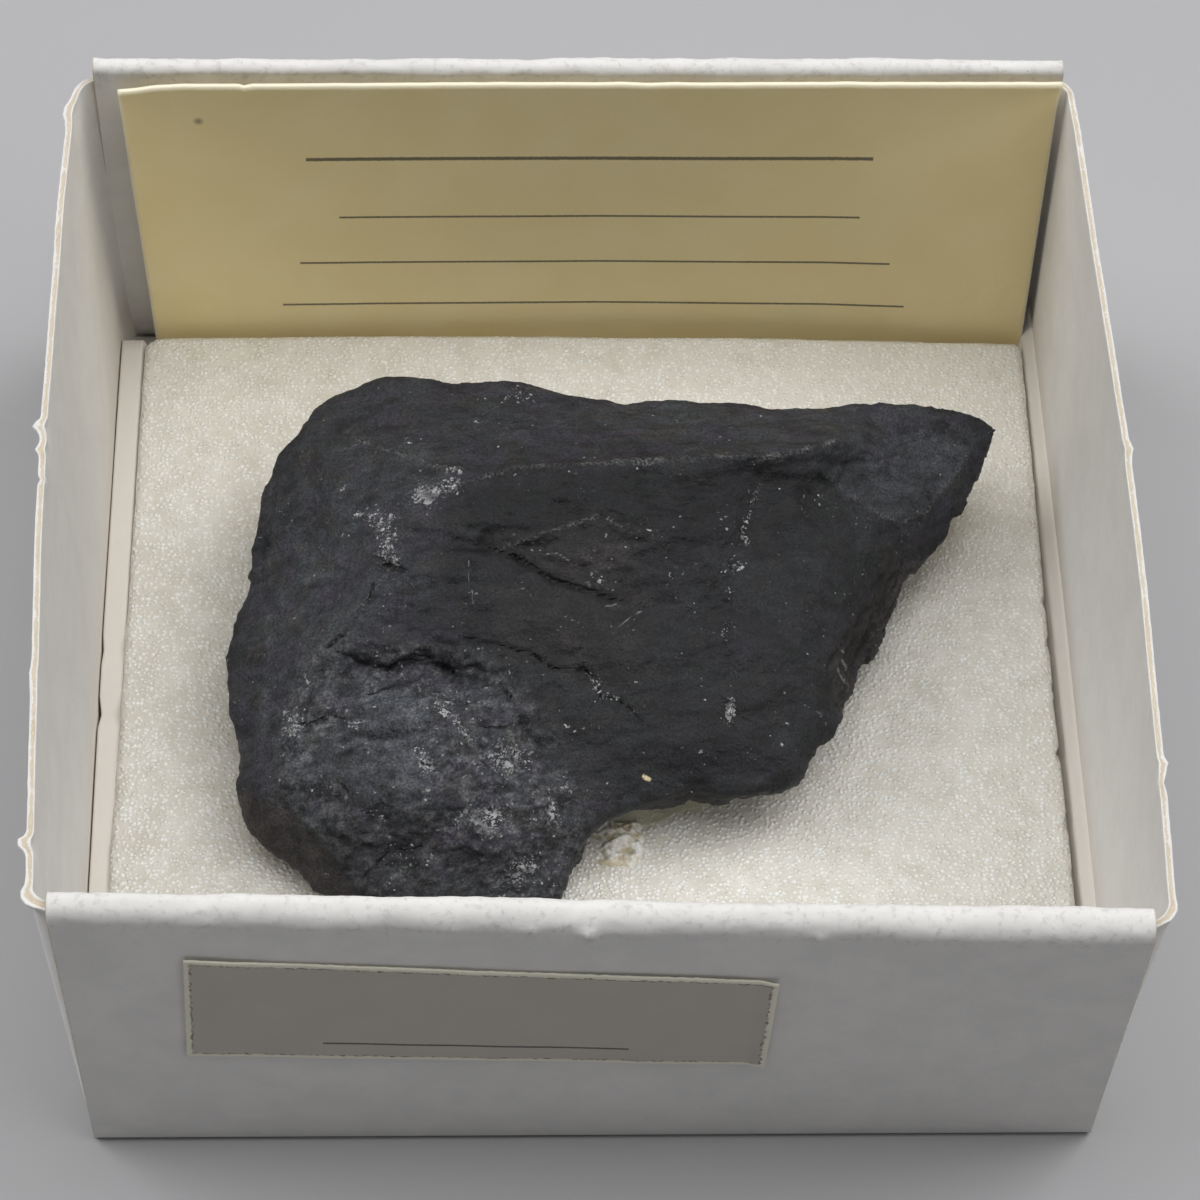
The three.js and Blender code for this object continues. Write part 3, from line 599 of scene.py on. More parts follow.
OUTER_CORNER, INNER_CORNER = 0.75, 0.3  # a roll's corner radii, as shares of its thickness
ROLL_TURN = 78


def roll_over(path, thickness, corners):
    """Folds the sheet back on itself with a flattish, softly creased rim."""
    crest = 180 - 2 * ROLL_TURN
    width = thickness * (1 - sum(corners) * (1 - math.cos(math.radians(ROLL_TURN))))
    dome = width / (2 * math.sin(math.radians(crest / 2)))
    first, last = (corner * thickness for corner in corners)
    return path.turn(-ROLL_TURN, first, 9).turn(-crest, dome, 6).turn(-ROLL_TURN, last, 9)


def roll_drop(thickness, corner):
    """How far below the top of a roll its corner starts."""
    return corner * thickness * math.sin(math.radians(ROLL_TURN)) + 0.01 * thickness


def curl_beside_foam(p):
    """Lifts the floor flap's sides to the strips of card that show beside the foam."""
    x, y, z = p.T.copy()
    left = 1 - smoothstep(x, FOAM_SIDES[0] - 0.16, FOAM_SIDES[0] - 0.02)
    left *= 1 - smoothstep(y, LEDGE_END, LEDGE_END + 0.3)
    right = smoothstep(x, FOAM_SIDES[1] + 0.02, FOAM_SIDES[1] + 0.14)
    lift = (LEDGE_TOP - FLAP_TOP) * (left + right) + 0.5 * smoothstep(x, FOAM_SIDES[1] + 0.1, RIGHT - EDGE)
    nicks = bell(y - 1.6, 0.25) + bell(y + 1.4, 0.25)
    return np.stack([x + left * 0.08 * nicks, y, z + lift - 0.25 * left * nicks], 1)


def strip_path():
    """The long strip's middle line, from the back wall's inner layer round to the end of the floor flap."""
    fold, half = 0.32, LAYER / 2
    back, front = BACK_WALL - LAYER, FRONT_WALL - LAYER  # how far apart the two layers of a wall are
    foot, flap, rim = FLAP_TOP + 0.06, FLAP_TOP - half, RIM - half
    path = Path((BACK - BACK_WALL + half, foot), 90)
    path.forward(rim - roll_drop(back, INNER_CORNER) - foot, 1.4)
    roll_over(path, back, (INNER_CORNER, OUTER_CORNER))
    path.forward(rim - roll_drop(back, OUTER_CORNER) - half - fold, 1.2).end_part()
    path.turn(-90, fold, 5).end_part()
    path.forward(BACK - FRONT - 2 * (half + fold), 3.0).end_part()
    path.turn(-90, fold, 5).end_part()
    path.forward(rim - roll_drop(front, OUTER_CORNER) - half - fold, 0.6)
    roll_over(path, front, (OUTER_CORNER, INNER_CORNER))
    path.forward(rim - roll_drop(front, INNER_CORNER) - flap - fold, 1.0).end_part()
    path.turn(90, fold, 5).end_part()
    return path.forward(BACK - BACK_WALL - 0.12 - path.at[0], 0.8)


def strip_ends(path):
    """Where the strip's left and right ends are, at each point along it."""
    count = len(path.points)
    floor_ends = (LEFT + BOARD + 0.08, RIGHT - BOARD - 0.08)
    flap_ends = (LEFT + EDGE + 0.07, RIGHT - EDGE + 0.1)  # it runs a little into the right wall
    ends = [BACK_ENDS, BACK_ENDS, floor_ends, floor_ends, FRONT_ENDS, FRONT_ENDS, flap_ends, flap_ends]
    return (np.interp(np.arange(count), [*path.parts, count], [e[i] for e in ends]) for i in (0, 1))


def strip_lumps(flat, on_flap, rim):
    """How far the strip's paper stands out: soft waves, a lumpy rim and torn nubs below it."""
    lumps = 0.06 * noise(flat, 7, 3) + 0.012 * noise(flat, 2.2, 4)
    lumps += rim * (0.07 * noise(flat, 4.0, 3) + 0.05 * noise(flat, 1.5, 5) + 0.03 * noise(flat, 0.5, 6))
    lumps *= smoothstep(flat[:, 2], 0.3, 3) * (1 - on_flap)
    for x, size in TORN_NUBS:
        spot = (flat - [x, FRONT + front_lean(x, 1), RIM - 0.75]) * [1, 0.6, 1]
        lumps += size * bell(np.linalg.norm(spot, axis=1), 0.24) * (1 + noise(flat, 0.18, 9))
    return lumps


def folded_strip():
    """The blank's long strip: back wall, floor, front wall and floor flap, folded from one sheet."""
    path = strip_path()
    left, right = strip_ends(path)
    across = np.concatenate([np.linspace(0, 0.03, 14)[:-1], np.linspace(0.03, 0.97, 180),
                             np.linspace(0.97, 1, 14)[1:]])
    x = lerp(left[:, None], right[:, None], across[None, :])
    flap_start = path.parts[-1]
    on_flap = np.broadcast_to(np.arange(len(left))[:, None] >= flap_start, x.shape).ravel()

    def placed(side):
        grid = np.stack([x, *np.broadcast_arrays(*side.T[:, :, None], x)[:2]], -1).reshape(-1, 3)
        curled = bow_sides(curl_beside_foam(grid))
        return np.where(on_flap[:, None], curled, lean_walls(grid)).reshape(*x.shape, 3)

    outer, inner = (placed(side) for side in path.sides(LAYER))
    flat = outer.reshape(-1, 3)
    rim = smoothstep(flat[:, 2], RIM - 1.6, RIM - 0.5)
    direction = outer - inner
    direction /= np.linalg.norm(direction, axis=-1, keepdims=True)
    shift = direction * strip_lumps(flat, on_flap, rim).reshape(x.shape)[..., None]
    points, faces = slab(outer + shift, inner + shift)
    end = np.minimum(across, 1 - across) * 40
    raw = (1 - smoothstep(end, 0.02, 0.1))[None, :] * (1 - on_flap.reshape(x.shape))
    # Painted bounce light: the floor flap takes the creamy tint.
    bounce_tint = np.where(on_flap, 0.8, 0.0)
    return points, faces, on_both(raw), on_both(bounce_tint), on_both(rim * (1 - on_flap))


def side_path():
    """A side wall's middle line: a tab, a bend, the wall, a bend and a tab."""
    tab, radius = 3.0, BEND - EDGE / 2
    path = Path((BEND + tab, FRONT + 0.42 + EDGE / 2), 180)
    path.forward(tab, 0.5).turn(-90, radius, 9)
    return path.forward(BEND_BACK - BEND_FRONT, 0.15).turn(-90, radius, 9).forward(tab, 0.5)


def frayed_edge(station, frays):
    """How far a raw edge rises and stands out, at each station along it."""
    ragged = 0.03 * noise(station, 0.4, 8) + 0.05 * noise(station, 2.4, 9)
    stick_out = 0.015 * noise(station, 0.5, 11) + 0.02 * noise(station, 3.1, 12)
    for y, length, height, reach in frays:
        bump = bell(station[:, 1] - y, length) * (1 + 0.6 * noise(station, 0.25, 13))
        ragged += height * bump
        stick_out += reach * bump
    return ragged, stick_out


def wall_in_place(grid, inward):
    """Carries a side wall's grid to its own side of the tray, and gives it waves and its bow."""
    x = LEFT + grid[..., 0] if inward > 0 else RIGHT - grid[..., 0]
    grid = np.stack([x, grid[..., 1], grid[..., 2]], -1)
    waves = 0.05 * noise(grid.reshape(-1, 3) * [1, 1, 0.6], 9, 21).reshape(x.shape)
    grid[..., 0] += waves * smoothstep(grid[..., 2], 0.5, 5)
    return bow_sides(grid.reshape(-1, 3)).reshape(grid.shape)


def side_wall(inward):
    """A single side wall: a strip with a bend and a tab at each end, and a raw top edge."""
    path = side_path()
    count = len(path.points)
    thickness = np.interp(np.arange(count), [0, 6, 14, count - 15, count - 7, count],
                          [0.3, 0.3, EDGE, EDGE, 0.24, 0.2])
    outer, inner = path.sides(thickness)
    out = (outer - inner) / thickness[:, None]
    fold = 0.3
    body = [*np.linspace(0, fold, 5), *np.linspace(0.8, SIDE_RIM - 0.5, 26), SIDE_RIM - 0.15]
    station = np.stack([np.full(count, 7.0 * inward), np.array(path.points)[:, 1], np.zeros(count)], 1)
    ragged, stick_out = frayed_edge(station, LEFT_FRAYS if inward > 0 else RIGHT_FRAYS)

    def face(line, shares, outside):
        rows = []
        for z in body:
            tuck = fold - math.sqrt(max(0.0, fold**2 - max(0.0, fold - z) ** 2)) if outside else 0
            grow = smoothstep(z, SIDE_RIM - 0.9, SIDE_RIM)
            at = line - out * tuck + out * (stick_out * grow)[:, None]
            rows.append(np.column_stack([at, np.full(count, z)]))
        for share, drop in zip(shares, ROW_DROPS):
            across = lerp(outer, inner, share) + out * stick_out[:, None] * (1 - 0.7 * share)
            fibres = -0.7 * drop * noise(np.column_stack([across, np.full(count, share)]), 0.14, 14)
            rows.append(np.column_stack([across, SIDE_RIM + drop + ragged + fibres]))
        return wall_in_place(np.array(rows), inward)

    outside, inside = face(outer, OUTER_ROWS, True), face(inner, INNER_ROWS, False)
    points, faces = slab(outside, inside)
    patchy = 0.25 * noise(station, 1.4, 15)
    raw_out, raw_in = (np.vstack([np.zeros((len(body), count)), np.add.outer(shares, patchy)])
                       for shares in (OUTER_RAW, INNER_RAW))
    # Painted bounce light from the foam, strongest at the foot of the wall's inside.
    bounce_tint = 0.75 * (1 - smoothstep(inside[..., 2], 2.4, 5.5)) + 0.15
    return points, faces, on_both(raw_out, raw_in), on_both(0 * bounce_tint, bounce_tint), on_both(0 * bounce_tint)


def make_tray():
    """The folded blank: its long strip and its two side walls."""
    card = card_material()
    pieces = (("tray_body", folded_strip(), ("tray_floor", "tray_front_wall", "tray_back_wall")),
              ("tray_left_side", side_wall(1), ("tray_left_wall",)),
              ("tray_right_side", side_wall(-1), ("tray_right_wall",)))
    for name, (points, faces, raw, bounce_tint, wear_and_highlight), nodes in pieces:
        piece = new_object(name, mesh_from(name, points, faces))
        smooth_shaded(piece.data)
        flecks = smoothstep(noise(points, 3.0, 17), 0.0, 0.5) * (0.3 + 0.5 * wear_and_highlight)
        for field, values in (("raw", raw), ("bounce_tint", bounce_tint), ("wear_and_highlight", wear_and_highlight), ("flecks", flecks)):
            add_field(piece.data, field, values)
        piece.data.materials.append(card)
        place_piece(piece, "white_card", *nodes)


# ---- Foam, cards and glue --------------------------------------------------
def make_foam():
    """The foam sheet: a soft uneven top, bitten edges and a torn stretch at the right."""
    foam = remeshed("foam_sheet", "foam_pad", 0.2)
    mesh = foam.data
    points, normals = points_of(mesh), normals_of(mesh)
    points[:, 0] -= FOAM_PUSH * smoothstep(-points[:, 0], 17.5, 18.9)
    side = 1 - smoothstep(np.abs(normals[:, 2]), 0.3, 0.8)
    top = smoothstep(normals[:, 2], 0.5, 0.9)
    torn = smoothstep(points[:, 0], 18, 19.5) * smoothstep(points[:, 1], -14, -6)
    torn *= 1 - smoothstep(points[:, 1], 4, 9)
    bites = 0.04 * noise(points, 1.5, 31)
    bites -= (0.02 + 0.4 * torn) * smoothstep(noise(points, 0.8, 32), 0.2, 0.55)
    pile = top * (0.05 * noise(points, 1.6, 33) + 0.025 * noise(points, 0.5, 34) - 0.04)
    move_points(mesh, points + normals * (side * bites + pile)[:, None])
    # Painted light: the foam is painted lighter towards the back and the right.
    painted_light = 0.35 * smoothstep(points[:, 1], 2, 18) + 0.3 * smoothstep(points[:, 0], -5, 15)
    add_field(mesh, "shade", np.clip(0.45 + 0.6 * fractal(points, 1.1, 3, 35) + painted_light, 0, 1.3))
    mesh.materials.append(foam_material())
    place_piece(foam, "white_foam", "foam_pad")
    return foam


def sheet_between(lower, upper, columns, rows):
    """A grid of points between two edges, each a list of (x, y, z), with its shares across and up."""
    share, up = np.linspace(0, 1, columns), np.linspace(0, 1, rows)
    edges = []
    for edge in (np.array(lower, float), np.array(upper, float)):
        at = np.linspace(0, 1, len(edge))
        edges.append(np.stack([np.interp(share, at, edge[:, i]) for i in range(3)], -1))
    grid = lerp(edges[0][None], edges[1][None], up[:, None, None])
    return grid, *np.meshgrid(share, up)


def paper_piece(name, node, slot, front, thickness, material, **fields):
    """A thin sheet behind a grid of points, with its values for each point."""
    points, faces = slab(front, front + [0, thickness, 0])
    piece = new_object(name, mesh_from(name, points, faces))
    for field, values in fields.items():
        add_field(piece.data, field, on_both(values))
    piece.data.materials.append(material)
    return place_piece(piece, slot, node)


NAME_CARD_FOOT = [(-18.8, 18.98), (-9, 19.08), (1, 19.08), (11, 18.85), (20.15, 18.3)]
NAME_CARD_HEAD = [(-19.25, 19.85), (-9.5, 19.85), (0.8, 19.83), (10.8, 19.78), (20.32, 19.7)]
NAME_CARD_THICKNESS, LABEL_THICKNESS = 0.2, 0.09  # as drawn, a little thinner than their solids
DIRT_SPOT = (-15.98, 19.62, 15.9)
# Blank rules where a specimen's name and place would be written: height, start, end and half width.
NAME_CARD_RULES = [(0.737, 0.194, 0.80, 0.006), (0.52, 0.224, 0.79, 0.0035),
                   (0.346, 0.175, 0.83, 0.0035), (0.183, 0.15, 0.852, 0.0035)]


def make_name_card():
    """The cream card that stands in front of the back wall, with a worn corner and a nick in its top."""
    lower = [(x, y, CARD_BOTTOM) for x, y in NAME_CARD_FOOT]
    upper = [(x, y, CARD_TOP) for x, y in NAME_CARD_HEAD]
    front, across, height = sheet_between(lower, upper, 200, 70)
    front[..., 1] += 0.03 * noise(front.reshape(-1, 3), 9, 41).reshape(height.shape)
    near_top = smoothstep(height, 0.9, 1)
    front[..., 2] -= near_top * (0.32 * bell(across, 0.035) + 0.12 * bell(across - 0.137, 0.004))
    uneven = noise(front.reshape(-1, 3) * [1, 0, 0], 1.2, 42).reshape(height.shape)
    front[..., 2] += near_top * 0.05 * uneven
    front[..., 0] += 0.12 * smoothstep(across, 0.97, 1) * bell(height - 1, 0.04)
    raw = np.maximum.reduce([smoothstep(height, 0.989, 0.999), smoothstep(across, 0.9975, 1),
                             smoothstep(-across, -0.0025, 0)])
    return paper_piece("display_card", "name_card", "cream_card", front, NAME_CARD_THICKNESS,
                       name_card_material(), across=across, height=height, raw=raw)


LABEL_FOOT = [(-15.45, 7.7), (-8.1, 7.5), (-0.7, 7.3), (6.6, 7.1)]
LABEL_HEAD = [(-15.05, 15.15), (-7.8, 14.8), (-0.5, 14.45), (6.8, 14.1)]
LABEL_RULES = [(0.17, 0.235, 0.76, 0.009)]


def make_label():
    """The paper label on the front wall: it follows the wall and lifts at its right end."""
    lower, upper = ([(x, 0, z) for x, z in edge] for edge in (LABEL_FOOT, LABEL_HEAD))
    front, across, height = sheet_between(lower, upper, 240, 80)
    x, z = front[..., 0].copy(), front[..., 2].copy()
    flat = front.reshape(-1, 3)
    shares = (height, 0.5 + (across - 0.5) * 0.98)
    near_edge = [smoothstep(share, 0.94, 1) - smoothstep(-share, -0.06, 0) for share in shares]
    front[..., 2] += 0.05 * noise(flat * [1, 0, 0], 0.28, 51).reshape(x.shape) * near_edge[0]
    front[..., 0] += 0.04 * noise(flat * [0, 0, 1], 0.3, 52).reshape(x.shape) * near_edge[1]
    lift = 0.16 + 0.14 * smoothstep(across, 0.965, 1) + 0.03 * noise(flat, 3, 53).reshape(x.shape)
    front[..., 1] = FRONT + front_lean(x, z / RIM) - lift
    edge = np.minimum(np.minimum(height, 1 - height) * 7.3, np.minimum(across, 1 - across) * 22)
    return paper_piece("paper_label", "number_label", "label_paper", front, LABEL_THICKNESS,
                       label_material(), across=across, height=height, edge=edge)


GLUE_HOLLOW = (0.55, -8.25)
# The part of the stone's foot where glue shows.
STONE_FOOT = [(-0.45, -7.6), (0.5, -7.1), (1.4, -6.8), (2.6, -6.45), (3.9, -6.1), (5.5, -6.0)]


def glue_heights(x, y):
    """How far the whitish smear and the clear fillet stand above the foam, and the glue's streaks."""
    flat = np.stack([x.ravel(), y.ravel(), np.zeros(x.size)], 1)
    uneven = noise(flat, 0.9, 61).reshape(x.shape)
    spread = 0.3 * uneven + 0.12 * noise(flat, 0.3, 63).reshape(x.shape)
    dome = 1 - (((x - 1.3) / 1.25) ** 2 + ((y + 8.0) / 1.35) ** 2) + spread
    streak = ridges(flat * [0.55, 1.3, 1], 0.6, 3, 62).reshape(x.shape)
    hollow = bell(np.hypot(x - GLUE_HOLLOW[0], y - GLUE_HOLLOW[1]), 0.4)
    smear = 0.42 * np.clip(dome, -0.3, 1) + 0.3 * (streak - 0.4) * smoothstep(dome, 0, 0.4)
    smear = smear - 0.4 * hollow - 0.04
    across, share, _ = (values.reshape(x.shape) for values in along_path(flat[:, :2], STONE_FOOT))
    reach = (1.3 + 0.3 * uneven) * np.sqrt(np.clip(1 - share, 0, 1)) * smoothstep(share, -0.05, 0.2)
    run = 1 + np.minimum(across, 0) / np.maximum(reach, 0.05)
    fillet = 0.5 * np.clip(run, 0, 1) ** 1.6 * (1 - smoothstep(across, 0.3, 0.9))
    return smear, fillet - 0.1 * (1 - smoothstep(run, 0, 0.1)), streak


def make_glue():
    """A whitish smear on the foam, and clear yellowish glue that fills the corner under the stone's edge."""
    x, y = np.meshgrid(np.linspace(-0.6, 5.9, 165), np.linspace(-9.6, -5.2, 112), indexing="ij")
    smear, fillet, streak = glue_heights(x, y)
    height = np.maximum(smear, fillet + 0.05 * (streak - 0.5) * smoothstep(fillet, 0, 0.2))
    top = np.stack([x, y, PAD_TOP + np.clip(height, -0.1, 0.8)], -1)
    bottom = np.stack([x, y, np.full(x.shape, PAD_TOP - 0.14)], -1)
    points, faces = slab(top, bottom)
    glue = new_object("glue_smear", mesh_from("glue_smear", points, faces))
    smooth_shaded(glue.data)
    add_field(glue.data, "clear", on_both(smoothstep(fillet - smear, -0.12, 0.08)))
    glue.data.materials.append(glue_material())
    return place_piece(glue, "dried_glue", "glue_blob")


# ---- Shungite stone --------------------------------------------------------
# Features of the upper side are drawn in the plane that faces the camera: u is x, and v climbs the
# stone from its front edge to its back edge. The crest is the long ridge near its back.
CREST = [
    (-4.8, 9.7), (-4, 10), (-2.9, 10.3), (-1.5, 10.4), (0.8, 10.5), (2.8, 10.6), (4.9, 10.7),
    (6.5, 10.8), (7.8, 10.8), (9.1, 11), (10.7, 11.5),
]
# Other crisp edges: path, height and how far they reach.
EDGES = [
    ([(10.1, 10.1), (11.9, 8.8), (13.4, 8.0), (14.5, 8.5), (16.7, 11.1)], 0.16, 0.22),
    ([(-3.5, 7.0), (-2.6, 7.3), (-1.5, 7.7), (-0.3, 8.05), (0.9, 8.45), (1.7, 7.7)], 0.13, 0.2),
    ([(10.5, 10.4), (12.1, 10.6)], -0.07, 0.16), ([(12.9, 11.5), (13.9, 11.3)], -0.05, 0.12),
    ([(12.1, 5.3), (12.6, 5.8)], -0.25, 0.14), ([(-8.6, 8.2), (-7.7, 6.6), (-9.2, 4.4)], 0.07, 0.25),
    ([(-9.6, 11.8), (-6.4, 10.6), (-5.2, 10.2)], 0.05, 0.3),
    ([(6.7, 9.3), (8.9, 9.9), (10.1, 9.6)], -0.04, 0.2),
]

# Cracks: path, half width, depth, and how far the side on its left stands up.
CRACKS = {
    "long_crack": ([(-4.1, 7.3), (-3.2, 6.9), (-2.6, 6.7), (-1.4, 6.0), (-0.1, 5.5), (0.5, 5.3), (1.6, 4.9)],
                   0.13, 0.3, 0.12),
    "front_crack": ([(-4.2, 3.3), (-3.2, 3.1), (-2.1, 2.8), (-1.2, 2.2), (-0.5, 2.1), (0, 2.2), (0.5, 1.6),
                     (0.7, 1.0), (1.3, 0.9), (2.0, 0.4), (2.8, -0.4)], 0.085, 0.14, 0.09),
    "lobe_step": ([(-10.1, 3.0), (-8.7, 2.3), (-8.0, 2.2), (-7.4, 2.6), (-6.7, 2.5), (-5.0, 2.0),
                   (-3.4, 1.6), (-2.8, 0.9), (-2.4, 0), (-1.8, -0.9), (-1.2, -2.1), (-0.9, -3.1),
                   (-0.6, -4.3)], 0.3, 0.12, 0.12),
    "upper_step": ([(-6.2, 3.4), (-5.4, 3.2), (-4.6, 3.4), (-3.8, 3.0)], 0.14, 0.14, 0.08),
    "left_edge": ([(-11.4, -1.4), (-11.5, -0.4), (-11.1, 1.4), (-10.8, 2.3), (-10.5, 3.2), (-9.8, 3.6),
                   (-8.7, 5.1), (-8.4, 6.0), (-7.8, 6.6)], 0.35, 0.06, 0.12),
    "hollow": ([(-8.2, 6.5), (-7.1, 6.2)], 0.2, 0.26, 0.05),
}
SOFT_CRACKS = ("left_edge", "lobe_step", "upper_step")  # steps with no dark line in them
# Short dark breaks, all of one width and depth, whose dark line is painted shade.
CREVICE_WIDTH, CREVICE_DEPTH, CREVICE_LINE = 0.13, 0.1, 0.045
CREVICES = [
    [(-10.1, 3.0), (-9.3, 2.6)], [(-8.0, 2.2), (-7.4, 2.6), (-6.9, 2.5)], [(-6.3, 2.4), (-5.3, 2.1)],
    [(-3.4, 1.6), (-2.9, 1.0)], [(-8.5, 5.7), (-8.7, 5.1)], [(-9.8, 3.6), (-10.4, 3.2)],
    [(-8.9, 2.3), (-8.4, 2.2), (-7.9, 2.1)], [(-7.0, 2.7), (-6.3, 2.6), (-5.7, 2.1)],
    [(-5.1, 3.5), (-4.3, 3.4)], [(-4.2, 0.0), (-3.4, -0.1), (-2.5, 0.0)], [(-6.9, -0.8), (-6.6, -0.8)],
    [(-6.6, -1.5), (-6.1, -1.6)], [(-9.0, -3.4), (-8.5, -3.5), (-8.0, -3.7)],
    [(-7.2, -4.2), (-6.6, -4.4)], [(-6.6, -4.9), (-8.0, -5.2), (-9.0, -6.1)],
    [(-9.8, -2.3), (-9.4, -2.9)], [(-11.9, 0.1), (-11.1, 0.1), (-10.3, 0.4), (-9.7, 0.4)],
    [(-11.3, -0.1), (-9.9, 0.4)], [(-8.8, 1.2), (-7.6, 1.6)],
]
# The dark vein's path, and the corners of the areas that differ in colour or relief.
VEIN = [
    (7.0, 10.7), (7.3, 9.8), (7.0, 8.8), (6.5, 7.1), (6.3, 6.6), (5.8, 6.0), (5.9, 5.3), (5.8, 4.4),
    (5.7, 3.5), (5.9, 2.0), (5.8, 1.2), (6.0, -0.3),
]
CHEVRON = [(-3, 7), (-1.5, 7.7), (0.7, 8.4), (1.7, 7.7), (2.5, 4.9), (0.1, 5.7), (-1.5, 6.5)]
BROWN_PATCH = [(-3, 5), (0, 5), (1.8, 4.6), (1.8, 2.0), (0.2, 1.8), (-1.5, 2.8), (-3, 3.6)]
WAVY = [
    (-7.5, 6.4), (-4.5, 8.5), (3, 9.8), (6, 9.5), (5, 5), (0, 6), (-4, 7), (-4.5, 3.5), (-8.5, 3.4),
]
LOBE = [
    (-10.3, 3.2), (-7.9, 3), (-5.8, 2.8), (-3.8, 2.5), (-2.4, 1.3), (-1.6, -0.7), (-0.6, -3.1),
    (-0.3, -4.7), (-1.1, -9.0), (-9.5, -9.0), (-11.5, -4.2), (-11.9, -2.2), (-11.7, 0.2), (-10.9, 2.2),
]
DUSTY = [(-9.6, -0.6), (-8.4, 1.0), (-6.6, 0.6), (-6.4, -2.0), (-7.6, -3.2), (-9.2, -2.6)]
SCOOP = [
    (10.0, 10.0), (11.9, 8.8), (13.4, 8.0), (14.5, 8.5), (16.7, 11.1), (15.6, 12.2), (12.7, 11.6),
    (10.8, 11.0),
]
FRONT_LEFT_FACE = [
    (-13.8, -2.8), (-13, -3.3), (-11.9, -3.6), (-11.3, -4.4), (-10.5, -5), (-9.9, -6), (-9.5, -6.8),
    (-10.3, -7.6), (-12.0, -7.2), (-13.4, -6.0), (-14.4, -4.9), (-14.6, -3.4),
]
FLANK = [
    (14.1, 6.4), (13.7, 5.5), (13.3, 4.6), (12.9, 3.6), (12.5, 2.8), (11.8, 2.2), (11.3, 1.5),
    (10.8, 0.8), (10.3, 0.8), (10.2, 2.6), (10.7, 3.3), (11.4, 4.1), (12.2, 4.8), (12.8, 5.7),
    (13.4, 6.2),
]
# Pits: u, v, depth and width.
PITS = [
    (-10.3, 12.3, 0.24, 0.5), (-13.4, 7.5, 0.4, 0.45), (-4.1, 7.3, 0.15, 0.24), (7.3, 10.9, 0.12, 0.24),
    (11.3, 10.4, 0.12, 0.24), (17.2, 12.5, 0.15, 0.24), (-8.2, 6.4, 0.18, 0.28),
    (-8.6, 5.1, 0.15, 0.24),
]

# Crusts of pale mineral, drawn as short lines with a half width.
CRUSTS = [
    ([(-8.6, 8.5), (-8.1, 7.9), (-7.9, 6.8), (-7.7, 6.6)], 0.24), ([(-5.9, 9.5), (-5.1, 9.7)], 0.13),
    ([(-5.5, 10.3), (-5.1, 10.3)], 0.1), ([(-6.8, 9.3), (-6.4, 9.2)], 0.13),
    ([(-7.2, 11.7), (-7.1, 11.4)], 0.07), ([(-10.0, 9.5), (-9.8, 9.7)], 0.06),
    ([(-9.3, 8.5), (-9.1, 8.6)], 0.09), ([(-12.2, 9.3), (-12.2, 9.1)], 0.06),
    ([(-12.6, 8.7), (-12.5, 8.6)], 0.07), ([(-10.8, 7.2), (-10.7, 7.2)], 0.06),
    ([(-5.9, 0.9), (-5.6, 0.4), (-5.2, 0.3), (-5.1, 0.1), (-4.7, -0.7)], 0.08),
    ([(-6.7, -1.1), (-6.5, -1.3), (-6.4, -1.8)], 0.11), ([(-9.4, 0.0), (-9.2, -0.2)], 0.09),
    ([(-8.8, -0.9), (-8.8, -1.0)], 0.08), ([(-7.4, 1.9), (-7.3, 1.9)], 0.07),
    ([(-11.9, 0.3), (-11.6, 0.1), (-11.9, -0.3)], 0.13), ([(-8.0, 3.8), (-7.8, 3.9)], 0.06),
    ([(0.1, 2.0), (0.5, 1.5), (0.6, 1.1)], 0.1), ([(0.7, 1.0), (1.2, 0.95)], 0.07),
    ([(6.5, 7.6), (6.8, 7.2)], 0.07), ([(6.5, 6.3), (6.3, 6.1)], 0.09),
    ([(6.0, 0.8), (5.9, 0.3)], 0.09),
]
# Soft spots of pale veil, and of painted glints that stand for glitter, one of them a painted highlight on
# the long crack's upper lip: u, v, half width, half height and strength.
PATCHES = [
    (-5.6, 10.0, 0.7, 0.5, 0.35), (-8.1, 7.9, 0.5, 0.6, 0.55), (-6.7, 9.4, 0.7, 0.4, 0.6),
    (-9.8, 9.6, 0.5, 0.5, 0.3), (-12.1, -0.3, 0.8, 0.9, 0.8), (-2.5, 13.7, 0.9, 0.4, 0.5),
    (-3.1, 12.0, 0.5, 0.4, 0.35), (-7.2, 11.5, 0.5, 0.5, 0.35), (-9.8, 3.7, 0.3, 0.6, 0.5),
    (-11.0, 1.9, 0.5, 0.7, 0.5), (-4.6, 2.9, 0.7, 0.35, 0.6), (-5.2, 0.2, 0.7, 0.6, 0.45),
    (-8.2, 4.2, 1.2, 0.5, 0.25), (-12.8, 9.0, 0.4, 0.6, 0.4), (-9.6, 11.6, 1.0, 0.6, 0.4),
    (10.5, 2.0, 0.25, 1.0, 0.6), (-1.6, -0.4, 0.3, 0.4, 0.3), (15.0, 13.2, 1.6, 0.4, 0.35),
    (4.0, 14.2, 2.5, 0.25, 0.3),
]
PAINTED_GLINT_SPOTS = [
    (-3.2, -1.5, 0.9, 0.8, 1), (-4.1, -3.7, 1.0, 0.6, 1), (-1.8, -3.6, 0.7, 1.0, 1),
    (-2.6, -5.8, 0.9, 0.7, 0.8), (-6.2, -1.6, 0.4, 0.7, 0.6), (-0.7, -2.6, 0.4, 0.8, 0.8),
    (-6.6, 9.3, 1.1, 0.5, 0.6), (0.3, 5.6, 1.1, 0.3, 0.8), (-3.0, 13.3, 2.2, 0.5, 0.35),
    (8.5, 8.8, 2.5, 1.2, 0.18), (10.0, 6.0, 2.0, 1.0, 0.2), (-6.6, -5.4, 1.2, 0.6, 0.4),
    (9.6, -0.1, 0.8, 0.4, 0.3), (-6.5, 1.0, 2.5, 1.5, 0.25), (-9.0, -2.8, 1.5, 0.8, 0.25),
]
